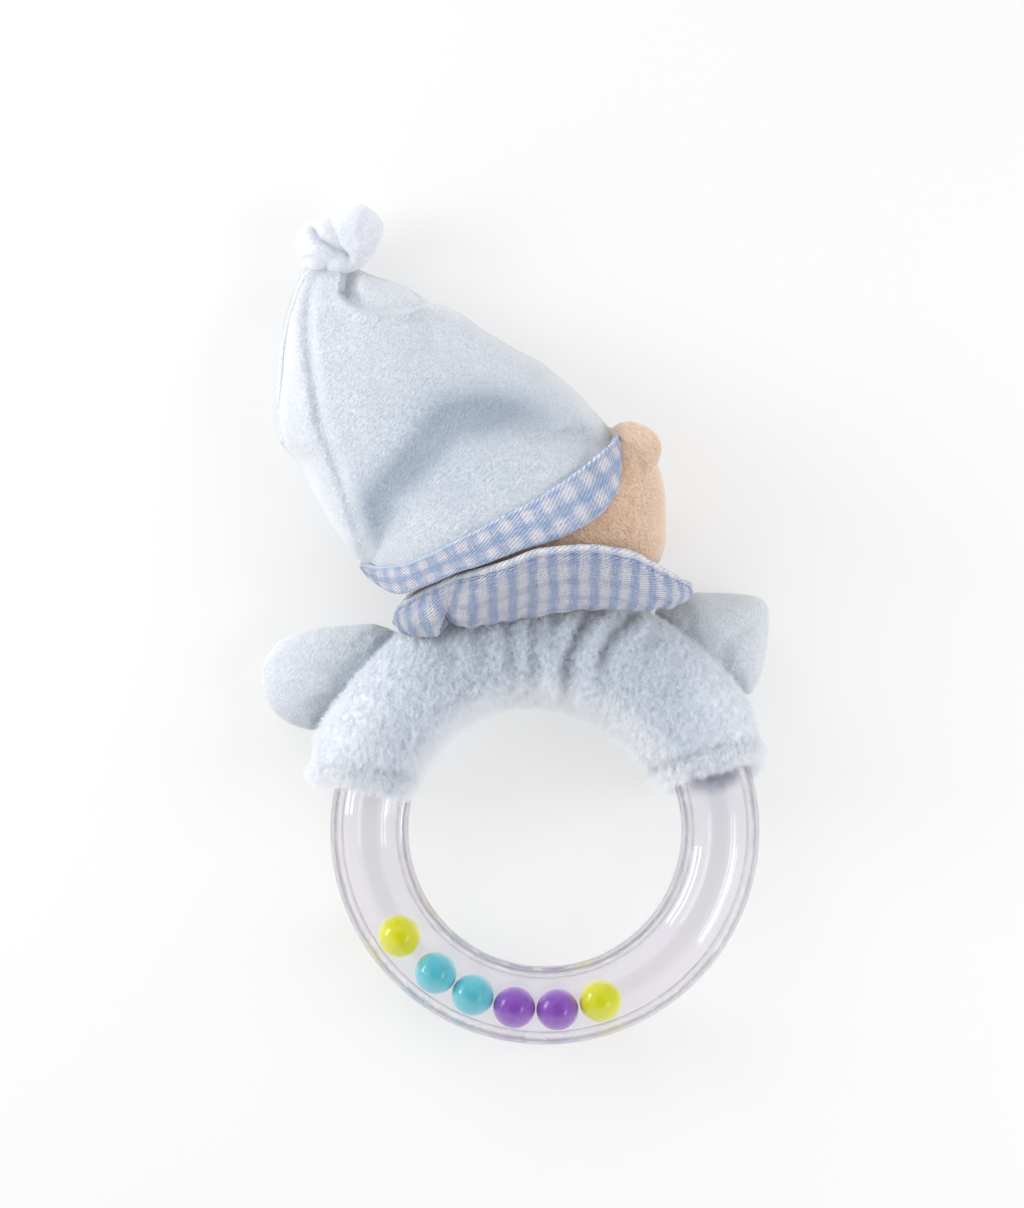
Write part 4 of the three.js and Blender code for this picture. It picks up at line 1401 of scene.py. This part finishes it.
# ------------------------------------------------------------------ cap
# outline in plan: down the left side from the tip, and up the right side to the tip
CAP_LEFT = [
    (-46.3, 119.8), (-49.8, 118.4), (-51.6, 115.7), (-53.2, 111.4), (-54.5, 107),
    (-55.4, 101.8), (-55.8, 96.5), (-56.2, 91.3), (-56.4, 87.7), (-56, 83.9), (-55, 80.8),
    (-53.1, 78.5), (-51, 76.2), (-49.3, 72.4), (-46.8, 67.6), (-44.1, 62.9), (-40.9, 58.5),
]
CAP_RIGHT = [
    (13.2, 84.4), (12.2, 85.6), (9.9, 88.1), (7.3, 91.1), (3.1, 94.8), (-1, 98.2),
    (-5.2, 100.3), (-9.4, 102.8), (-13.6, 105.3), (-17.4, 108.3), (-21, 109.9),
    (-24.1, 110.6), (-27.3, 112.9), (-30.4, 114.6), (-34.6, 115.9), (-38.4, 117.4),
    (-42, 119.2),
]
CAP_OPENING = [
    (-38.4, 55.5), (-36.7, 53.1), (-31.5, 50.2), (-20, 53), (-8, 57), (4, 61.5),
    (13, 68.5), (16.2, 75.5), (15.4, 80.5),
]
CAP_CENTRE = np.array([-22.0, 82.0])
CAP_COUNTS = detail((300, 60), (180, 40))
# lines of (x, y) on the back panel
BACK_SEAM = [
    (-45.9, 119.2), (-48.0, 116.0), (-49.3, 112.2), (-49.7, 107.2), (-49.1, 99.7),
    (-48.0, 92.9), (-46.6, 84.8), (-44.3, 79.1), (-42.0, 72.2), (-39.7, 65.2),
    (-38.0, 60.0), (-36.7, 55.0),
]
BACK_RIDGE = [
    (-43.8, 119.2), (-42.6, 116.2), (-42.8, 112.0), (-40.5, 109.3), (-36.7, 107.8),
    (-31.1, 107.4), (-25.4, 108.9), (-22.0, 110.8), (-19.5, 111.2),
]
BACK_VALLEY = [
    (-38, 60), (-35, 65.9), (-32.7, 70.9), (-27.6, 76.2), (-20.7, 84.2), (-13.8, 86.5),
    (-5.1, 86.5), (2.3, 82.5), (6.9, 76.2),
]
# long soft folds: (x, y) points, depth, width
BACK_FOLDS = [
    ([(-37.6, 104.9), (-34.6, 94.4), (-32.1, 83.9), (-30.8, 75.5)], 0.45, 3.0),
    ([(-26.2, 104.9), (-15.7, 96.5), (-5.2, 90.2)], 0.4, 3.4),
    ([(-40.5, 111.2), (-40.9, 102.8), (-40.5, 94.4)], 0.35, 2.0),
    ([(-36.3, 69.2), (-33.8, 62.9), (-32.1, 57.5)], 0.6, 2.2),
    ([(5.2, 85.0), (8.2, 80.8), (10.9, 75.5)], 0.7, 1.1),
]
FRONT_SEAM = [(-49, 112), (-50, 104), (-49.5, 96), (-46, 84), (-41, 72), (-37, 64)]
FRONT_VALLEY = [(-30, 74), (-20, 84), (-8, 89), (4, 88)]


def cap_rays(low_edge, count):
    """Angle, reach and height of rays from the cap's centre to a panel's edge, and 1 where that
    edge is the outline or 0 where it is under the band. Rays are spaced by edge length, so the
    long tip gets its share."""
    left, right = (
        [(x, y, 14.2 - 5.2 * smooth(88, 117, y)) for x, y in side]
        for side in (CAP_LEFT, CAP_RIGHT)
    )
    kind = np.concatenate([np.ones(len(left)), np.zeros(len(low_edge)), np.ones(len(right))])
    edge = spline(np.hstack([np.vstack([left, low_edge, right]), kind[:, None]]), 1600, True)
    from_centre = edge[:, :2] - CAP_CENTRE
    angle = np.arctan2(from_centre[:, 1], from_centre[:, 0])
    order = np.argsort(angle)
    angle, edge = angle[order], edge[order]
    distance = np.hypot(from_centre[:, 0], from_centre[:, 1])[order]
    stations = lengths(edge[:, :2])
    at = np.linspace(0, stations[-1], count, endpoint=False)
    ray = np.interp(at, stations, angle)
    radius, height, outline = (
        np.interp(ray, angle, column) for column in (distance, edge[:, 2], edge[:, 3])
    )
    return ray, radius, height, np.clip(outline, 0, 1)


def cap_loft(sign, x, y, share):
    """Height of a panel before its folds; share is 0 at the centre and 1 at the outline."""
    middle = 12.6 - 4.2 * smooth(85, 117, y)
    if sign > 0:
        loft = 13.5 - 7.0 * smooth(88, 117, y)
    else:
        loft = 11.6 - 5.5 * smooth(88, 117, y)
    pillow_z = middle + sign * loft * (1 - share**2.2) ** 0.55
    if sign > 0:
        spread = (np.abs(x + 1.0) / 38.0) ** 2.2 + (np.abs(y - 64.0) / 30.0) ** 2.2
        over_head = 24.0 + 15.6 * np.clip(1 - spread, 0, 1) ** 0.95
        over_head = over_head - 10.0 * np.clip(spread - 1, 0, 2)
        return np.minimum(smooth_max(pillow_z, over_head, 7.0), 39.3)
    under_head, inside = head_front(x, y, 2.3)
    under_head = np.where(inside, under_head, 24.0)
    return np.maximum(-smooth_max(-pillow_z, -under_head, 4.0), 1.2)


def back_relief(where):
    """Outward relief of the back panel, and its painted light and shade."""
    x, y = where[..., 0], where[..., 1]
    to_seam, seam_side, seam_along = to_curve(where, BACK_SEAM, 60)
    inward = to_seam * np.where(seam_side > 0, -1.0, 1.0)
    relief = -1.3 * bell(to_seam, 1.3)
    relief += 0.4 * bell(inward - 2.6, 1.8)
    relief += 0.45 * bell(inward + 2.6, 2.0)
    # a folded pocket below the knot, with a ridge round it
    to_ridge, ridge_side, ridge_along = to_curve(where, BACK_RIDGE, 60)
    in_pocket = ridge_side < 0
    ridge_fade = smooth(0.0, 0.1, ridge_along) * smooth(1.0, 0.75, ridge_along)
    relief += 1.1 * bell(to_ridge, 1.5) * ridge_fade * (~in_pocket)
    steep = smooth(0.55, 0.2, ridge_along)
    drop = (2.7 + 1.5 * steep) * smooth(0.0, 1.6 - 0.7 * steep, to_ridge)
    drop = drop * bell(np.maximum(to_ridge - 1.4, 0), 2.8)
    relief += np.where(in_pocket, 1.3 - drop, 0) * ridge_fade * bell(to_ridge, 9)
    # the head's roundness pushes up below a soft valley
    to_valley, _, valley_along = to_curve(where, BACK_VALLEY, 70)
    valley_fade = smooth(0.0, 0.15, valley_along) * smooth(1.0, 0.75, valley_along)
    relief -= 1.3 * bell(to_valley, 4.6) * valley_fade
    for points, depth, width in BACK_FOLDS:
        distance, _, along = to_curve(where, points, 30)
        relief -= depth * (bell(distance, width) * smooth(0, 0.2, along) * smooth(1, 0.7, along))

    def around(centre_x, centre_y, width):
        return bell(np.hypot(x - centre_x, y - centre_y), width)

    # painted shade in the valley, mid panel, bulge, seam and pocket corner; painted light beside
    # the seam and in the pocket
    painted_light_shade = 1.02 * bell(to_valley, 5.0)
    painted_light_shade = painted_light_shade * smooth(-0.05, 0.12, valley_along) * smooth(1.05, 0.6, valley_along)
    painted_light_shade += 0.20 * around(-24.1, 89.2, 15) + 0.10 * around(-9.4, 90.2, 10)
    painted_light_shade += 0.22 * around(-13.6, 71.3, 11) - 0.30 * bell(inward + 5, 4.6)
    seam_fade = smooth(0.05, 0.15, seam_along) * smooth(0.6, 0.45, seam_along)
    painted_light_shade += 0.16 * bell(to_seam, 1.7) * seam_fade
    pocket = 0.45 * around(-42.0, 111.8, 2.2) - 0.10 * bell(to_ridge - 0.8, 1.2)
    pocket = pocket - 0.42 * bell(to_ridge - 3.4, 2.4)
    painted_light_shade += np.where(in_pocket, pocket, 0) * ridge_fade
    return relief, np.clip(painted_light_shade, -0.7, 1)


def front_relief(where):
    relief = -1.1 * bell(to_curve(where, FRONT_SEAM, 40)[0], 0.9)
    relief -= 1.0 * bell(to_curve(where, FRONT_VALLEY, 40)[0], 4.0)
    return relief, np.zeros(relief.shape)


def cap_panel(name, node, sign, low_edge):
    """One panel of the cap, sign 1 for the back (up) and -1 for the front: its edge lies on the
    outline seam and, along the opening, under the band."""
    columns, rows = CAP_COUNTS
    ray, radius, edge_z, outline = cap_rays(low_edge, columns)
    share = np.sin(np.linspace(0, 1, rows) * np.pi / 2) ** 0.9
    share[-1] = 1
    x = CAP_CENTRE[0] + np.outer(np.cos(ray) * radius, share)
    y = CAP_CENTRE[1] + np.outer(np.sin(ray) * radius, share)
    share = np.broadcast_to(share, x.shape)
    full = reach(CAP_LEFT + CAP_OPENING + CAP_RIGHT, CAP_CENTRE, ray)
    full_share = np.clip(share * (radius / np.maximum(full, radius + 1e-6))[:, None], 0, 1)
    loft = cap_loft(sign, x, y, full_share)
    edge_z, outline = edge_z[:, None], outline[:, None]
    # rounded down to the outline seam, or eased to the band's height
    fade = 1 - share**10
    to_outline = edge_z + (loft - edge_z) * np.clip(fade, 0, 1) ** 0.5
    to_band = loft + (edge_z - loft[:, -1:]) * share**5
    verts = np.stack([x, y, outline * to_outline + (1 - outline) * to_band], -1)
    relief, painted_light_shade = back_relief(verts) if sign > 0 else front_relief(verts)
    relief += 0.55 * fractal(verts, 13, 2, 51 if sign > 0 else 53)
    relief += 0.12 * fractal(verts, 3.2, 2, 55)
    relief += 0.05 * noise(verts, 0.8, 57)
    x, y, z = axes(verts)
    z += sign * relief * np.clip(fade, 0.12, 1)
    # painted light along the outline
    painted_light_shade = painted_light_shade - 0.55 * bell(1 - share, 0.07) * outline
    pinch = bell(1 - share, 0.02) * 0.03 * outline
    x -= np.cos(ray)[:, None] * pinch
    y -= np.sin(ray)[:, None] * pinch
    if sign < 0:
        z[:] = np.maximum(z, 0.9)
    # the inner face lies a fabric's depth further in
    inner = verts.copy()
    inner[..., 2] -= sign * 1.1
    shrink = (1 - 0.9 / np.maximum(radius, 1))[:, None, None]
    inner[..., :2] = CAP_CENTRE + (inner[..., :2] - CAP_CENTRE) * shrink
    if sign < 0:
        inner[..., 2] = np.minimum(inner[..., 2], edge_z + 0.6)
    count = columns * rows
    rim = np.arange(columns) * rows + rows - 1
    after = np.roll(rim, -1)
    faces = np.vstack([
        grid(columns, rows, True, False),
        grid(columns, rows, True, False, flip=True) + count,
        np.stack([rim, after, after + count, rim + count], 1)[:, ::-1],
    ])
    both = np.vstack([verts.reshape(-1, 3), inner.reshape(-1, 3)])
    painted_light_shade = np.concatenate([painted_light_shade.ravel(), painted_light_shade.ravel()])
    panel = build(name, both, faces, [velour], weld=True, painted_light_shade=painted_light_shade)
    bend = ("head", "hat_tip", (-43.5, 108, 11), (-44.8, 118.5, 9))
    register(panel, [node], blend=bend)


def tuck_run(start, end):
    """The tuck line from one sample to another, going round the loop."""
    return tuck_line[(start + np.arange((end - start) % BAND_COUNT + 1)) % BAND_COUNT]


# the band's back half runs left to right, its front half right to left
right_end = int(np.argmax(tuck_line[:, 0] + 0.2 * tuck_line[:, 1]))
left_end = int(np.argmin(tuck_line[:, 0]))
cap_panel("cap_back", "hat_back_panel", 1, tuck_run(left_end, right_end)[6:-6:8])
cap_panel("cap_front", "hat_front_panel", -1, tuck_run(right_end, left_end)[::-1][6:-6:8])

# ------------------------------------------------------------------ knot and tip
# grooves: (x, y) points, depth, width; the first of each is the crease where the two lobes meet
CREASE = ([(-48.5, 126.2), (-47.2, 123.8), (-44.1, 121.7), (-41.5, 119.4)], 1.6, 1.05)
KNOT_GROOVES = [CREASE, ([(-51.4, 119.2), (-48.0, 119.2), (-43.4, 118.3)], 0.8, 1.0)]
TIP_GROOVES = [CREASE, ([(-36.3, 129.2), (-37.6, 126.7), (-37.6, 123.8)], 0.5, 1.3)]


def lobe(name, node, centre, radii, power, angle, seed, grooves):
    counts = detail((120, 64), (80, 44))
    centre = np.array(centre)
    verts = blob((0, 0, 0), radii, power, counts)
    swell = 0.42 * fractal(verts + centre, 5.0, 3, seed)
    verts = turned(verts + swell[..., None] * ball_directions(*counts), angle) + centre
    outward = verts - centre
    outward /= np.maximum(np.linalg.norm(outward, axis=-1, keepdims=True), 1e-9)
    on_back = smooth(-0.1, 0.35, outward[..., 2])
    # painted shade along the crease where the two lobes meet
    painted_light_shade = 0.45 * bell(to_curve(verts, CREASE[0], 30)[0], 0.8) * on_back
    for points, depth, width in grooves:
        groove = bell(to_curve(verts, points, 30)[0], width) * on_back
        verts = verts - outward * (depth * groove)[..., None]
    verts += (0.06 * noise(verts, 0.9, seed + 2))[..., None] * outward
    verts[..., 2] = np.maximum(verts[..., 2], 1.2)
    piece = build(name, verts, ball_grid(counts), [velour_tip], weld=True, painted_light_shade=painted_light_shade)
    register(piece, [node], ride="hat_tip")


lobe(
    "knot", "hat_knot", centre=(-46.5, 122.8, 8.6), radii=(5.9, 5.4, 6.1), power=2.3,
    angle=0.2, seed=61, grooves=KNOT_GROOVES,
)
lobe(
    "loose_end", "hat_tip_end", centre=(-40.9, 123.9, 8.8), radii=(8.0, 6.0, 5.2), power=2.2,
    angle=0.80, seed=64, grooves=TIP_GROOVES,
)

# ------------------------------------------------------------------ collar
# sewn edge and rolled hem, as closed loops of (x, y, z) matched point by point
COLLAR_LOW = [
    (-29.5, 43.0, 14.0), (-29.2, 41.4, 17.0), (-27.6, 40.9, 19.4), (-25.2, 40.6, 21.0),
    (-22.4, 40.7, 22.4), (-20.0, 43.7, 20.6), (-16.6, 42.5, 22.9), (-11.4, 43.4, 23.2),
    (-7.3, 44.1, 23.4), (-3.1, 44.7, 23.6), (1.05, 45.3, 23.6), (5.2, 46.1, 23.5),
    (9.2, 46.3, 23.3), (13.2, 46.2, 23.0), (17.0, 46.0, 22.5), (20.5, 45.9, 21.8),
    (24.1, 46.5, 20.6), (27.2, 47.1, 18.4), (29.0, 48.8, 15.6), (28.7, 50.2, 11.8),
    (25.3, 50.9, 7.5), (18, 51.1, 4.4), (8, 51.5, 3.3), (-2, 51.6, 3.0), (-12, 51.2, 3.3),
    (-21, 49.4, 5.0), (-27.2, 46.4, 9.0),
]
COLLAR_HEM = [
    (-30.2, 45.8, 15.5), (-30.1, 47.2, 18.5), (-28.3, 48.6, 22.8), (-26.3, 49.9, 25.8),
    (-23.7, 51.4, 29.0), (-19.9, 53.1, 32.4), (-15.7, 54.3, 35.0), (-11.5, 55.3, 36.9),
    (-7.3, 56.6, 38.4), (-3.1, 58.3, 39.4), (1.05, 59.1, 39.8), (5.2, 59.5, 39.8),
    (9.4, 59.5, 39.3), (13.6, 59.1, 38.4), (17.8, 58.3, 36.4), (20.8, 56.7, 33.6),
    (24.1, 55.0, 29.8), (27.3, 53.3, 24.8), (29.0, 51.9, 19.0), (28.9, 52.4, 12.6),
    (25.8, 53.4, 7.0), (18, 54.1, 3.4), (8, 54.3, 2.0), (-2, 54.3, 1.6), (-12, 53.9, 2.0),
    (-21.5, 52.5, 4.2), (-28, 49.8, 9.5),
]
COLLAR_COUNT = detail(480, 300)
COLLAR_BEND = ("torso", "head", (-1, 45.5, 15), (-1, 57.0, 15))
HEM_V = 17.0  # v of the hem's edge in the cloth's UVs
STITCH_PITCH = 2.1
STITCH_LENGTH = 1.45


def collar_bulge(sheet):
    return 2.6 * np.clip((sheet[..., 2] - 10) / 15, 0.15, 1)


def make_collar():
    """Builds the collar and gives its middle sheet, normals and distances across it."""
    section, uv, sheet, normals, along, across = strip(
        matched(COLLAR_LOW, COLLAR_HEM, COLLAR_COUNT), rows=34, centre=(-1, 50, 15),
        bulge=collar_bulge, thick=1.0, roll_low=0.2, roll_high=0.9, wave=0.30, seed=71,
    )
    # a groove under the rolled hem, and gathers where the strip is sewn down
    width = across[:, -1:]
    relief = -0.45 * bell(across - (width - 1.8), 0.38) + 0.12 * bell(across - (width - 2.4), 0.5)
    gathers = 0.28 * np.sin(along * 2 * np.pi / 5.1 + 1.5 * np.sin(along * 0.21))
    relief = relief + gathers[:, None] * bell(across, 4.0)
    section_normals = there_and_back(normals, normals)
    section = section + section_normals * there_and_back(relief, relief)[..., None]
    section[..., 2] = np.maximum(section[..., 2], 0.3)
    uv[..., 1] += HEM_V - width
    collar = build_loop("collar_strip", section, uv, collar_cloth, COLLAR_PERIOD)
    register(collar, ["collar"], blend=COLLAR_BEND)
    return sheet, normals, across


def make_collar_stitches(sheet, normals, across):
    """Running stitch below the rolled hem, each stitch dipping into the cloth at its ends."""
    row = np.argmin(np.abs(across - (across[:, -1:] - 1.7)), axis=1)
    every = np.arange(COLLAR_COUNT)
    line = closed_rows((sheet + normals * 0.36)[every, row])
    line_normals = closed_rows(normals[every, row])
    stations = lengths(line)
    lift = (0.10 - 0.30 * (np.linspace(-1, 1, 7) ** 4))[:, None]
    paths = []
    for k in range(int(stations[-1] / STITCH_PITCH)):
        at = np.linspace(k * STITCH_PITCH, k * STITCH_PITCH + STITCH_LENGTH, 7)
        path = interp_rows(at, stations, line)
        paths.append(path + interp_rows(at, stations, line_normals) * lift)
    verts, faces = strands(paths, 0.12, 5)
    stitches = build("collar_stitches", verts, faces, [blue_thread])
    register(stitches, blend=COLLAR_BEND)


make_collar_stitches(*make_collar())

# ------------------------------------------------------------------ pile on the sleeve
PILE_LENGTH = 0.0015  # metres
PILE_LAY = -0.0009  # brushed towards -Y
PILE_RADIUS = 0.05


def add_pile(piece, count, seed):
    piece.modifiers.new("pile", "PARTICLE_SYSTEM")
    system = piece.particle_systems[-1]
    system.seed = seed
    set_all(
        system.settings,
        type="HAIR",
        count=count,
        hair_step=3,
        emit_from="FACE",
        use_emit_random=True,
        distribution="RAND",
        use_advanced_hair=True,
        normal_factor=PILE_LENGTH / 4,
        object_align_factor=(0.0, PILE_LAY / 4, 0.0),
        factor_random=PILE_LENGTH / 4 * 0.35,
        child_type="INTERPOLATED",
        rendered_child_count=6,
        child_percent=1,
        clump_factor=0.6,
        roughness_1=0.0004 * 1.4,
        roughness_1_size=0.0012,
        roughness_2=0.0006 * 1.4,
        roughness_2_size=0.002,
        roughness_endpoint=0.0005 * 1.4,
        root_radius=PILE_RADIUS,
        tip_radius=PILE_RADIUS * 0.25,
        radius_scale=0.001,
        material=2,
        display_step=2,
        render_step=3,
    )


piles = ((sleeve_back, 15000), (sleeve_front, 8000), (cuff_right, 2200), (cuff_left, 2200))
for k, (piece, count) in enumerate(piles):
    add_pile(piece, count, seed=5 + k)


# ------------------------------------------------------------------ room
def floor_paper():
    """White paper that glows a little and can be seen through from below."""
    mat = Material("floor_paper")
    tone = mat.noise(mat.coords(scale=(1, 1, 1)), scale=60, detail=3)
    colour = mat.mix(mat.mul(tone, 0.2), (0.86, 0.86, 0.86, 1), (0.89, 0.89, 0.892, 1))
    paper = mat.node("BsdfDiffuse", {"Color": colour}).outputs[0]
    clear = mat.node("BsdfTransparent").outputs[0]
    below = mat.node("NewGeometry").outputs["Backfacing"]
    glow = mat.node("Emission", {"Color": (0.93, 0.93, 0.93, 1)}).outputs[0]
    return mat.finish(mat.mix_shader(below, mat.mix_shader(0.5, paper, glow), clear))


def make_floor():
    mesh = bpy.data.meshes.new("floor")
    mesh.from_pydata([(-3, -3, 0), (3, -3, 0), (3, 3, 0), (-3, 3, 0)], [], [(0, 1, 2, 3)])
    floor = bpy.data.objects.new("floor", mesh)
    bpy.context.scene.collection.objects.link(floor)
    mesh.materials.append(floor_paper())


# name, location, target, (width, height), power; metres and watts
BROAD_LIGHTS = [
    ("side_left", (-0.40, 0.08, 0.24), (0, 0.01, 0.01), (0.28, 0.28), 0.62),
    ("side_right", (0.40, 0.00, 0.24), (0, 0.0, 0.01), (0.28, 0.28), 0.80),
    ("top_left", (-0.20, 0.42, 0.24), (-0.01, 0.05, 0.01), (0.28, 0.22), 0.70),
    ("front_low", (0.05, -0.48, 0.22), (0, -0.02, 0.01), (0.30, 0.22), 0.40),
]
STRIP_LIGHTS = [
    ("strip_left", (-0.42, 0.10, 0.15), (0, -0.03, 0.01), (0.26, 0.07), 0.70),
    ("strip_right", (0.30, -0.14, 0.34), (0, -0.03, 0.01), (0.22, 0.05), 0.16),
]


def area_light(name, location, target, size, power):
    light = bpy.data.lights.new(name, "AREA")
    set_all(light, shape="RECTANGLE", size=size[0], size_y=size[1], energy=power)
    lamp = bpy.data.objects.new(name, light)
    bpy.context.scene.collection.objects.link(lamp)
    lamp.location = location
    aim = Vector(target) - Vector(location)
    lamp.rotation_euler = aim.to_track_quat("-Z", "Y").to_euler()
    return lamp


def make_world():
    """White sky whose strength depends on height and on the kind of ray."""
    studio = bpy.data.worlds.new("studio")
    studio.use_nodes = True
    sky = Nodes(studio.node_tree)
    up = sky.node("SeparateXYZ", {0: sky.node("TexCoord").outputs["Generated"]}).outputs[2]
    ray = sky.node("LightPath").outputs

    def by_height(low, high, at_low, at_high, **attributes):
        inputs = {
            "Value": up, "From Min": low, "From Max": high, "To Min": at_low, "To Max": at_high,
        }
        return sky.node("MapRange", inputs, **attributes).outputs[0]

    def choose(share, otherwise, chosen):
        inputs = {0: share, 2: otherwise, 3: chosen}
        return sky.node("Mix", inputs, data_type="FLOAT").outputs[0]

    lighting = by_height(0.15, 0.95, at_low=0.80, at_high=0.46)
    reflected = by_height(
        0.72, 0.97, at_low=0.88, at_high=0.06, interpolation_type="SMOOTHSTEP"
    )
    seen = choose(ray["Is Camera Ray"], reflected, 0.88)
    background = studio.node_tree.nodes["Background"]
    sky.put(background.inputs[0], (1.0, 1.0, 1.0, 1))
    sky.put(background.inputs[1], choose(ray["Is Diffuse Ray"], seen, lighting))
    bpy.context.scene.world = studio


def make_camera():
    """Looks straight down from a metre above the toy."""
    lens = bpy.data.cameras.new("camera")
    set_all(lens, lens=142.05, sensor_width=36)
    camera = bpy.data.objects.new("camera", lens)
    bpy.context.scene.collection.objects.link(camera)
    x, y, z = point(-6.9, 47.4, 9.8)
    camera.location = (x, y, z + 1.0)
    bpy.context.scene.camera = camera


make_floor()
# the broad lights only light; the two narrow strips give the plastic its highlights
for row in BROAD_LIGHTS:
    set_all(area_light(*row), visible_glossy=False, visible_transmission=False)
for row in STRIP_LIGHTS:
    area_light(*row)
make_world()
view = bpy.context.scene.view_settings
set_all(view, view_transform="Standard", look="None", exposure=0.0, gamma=1.0)
make_camera()
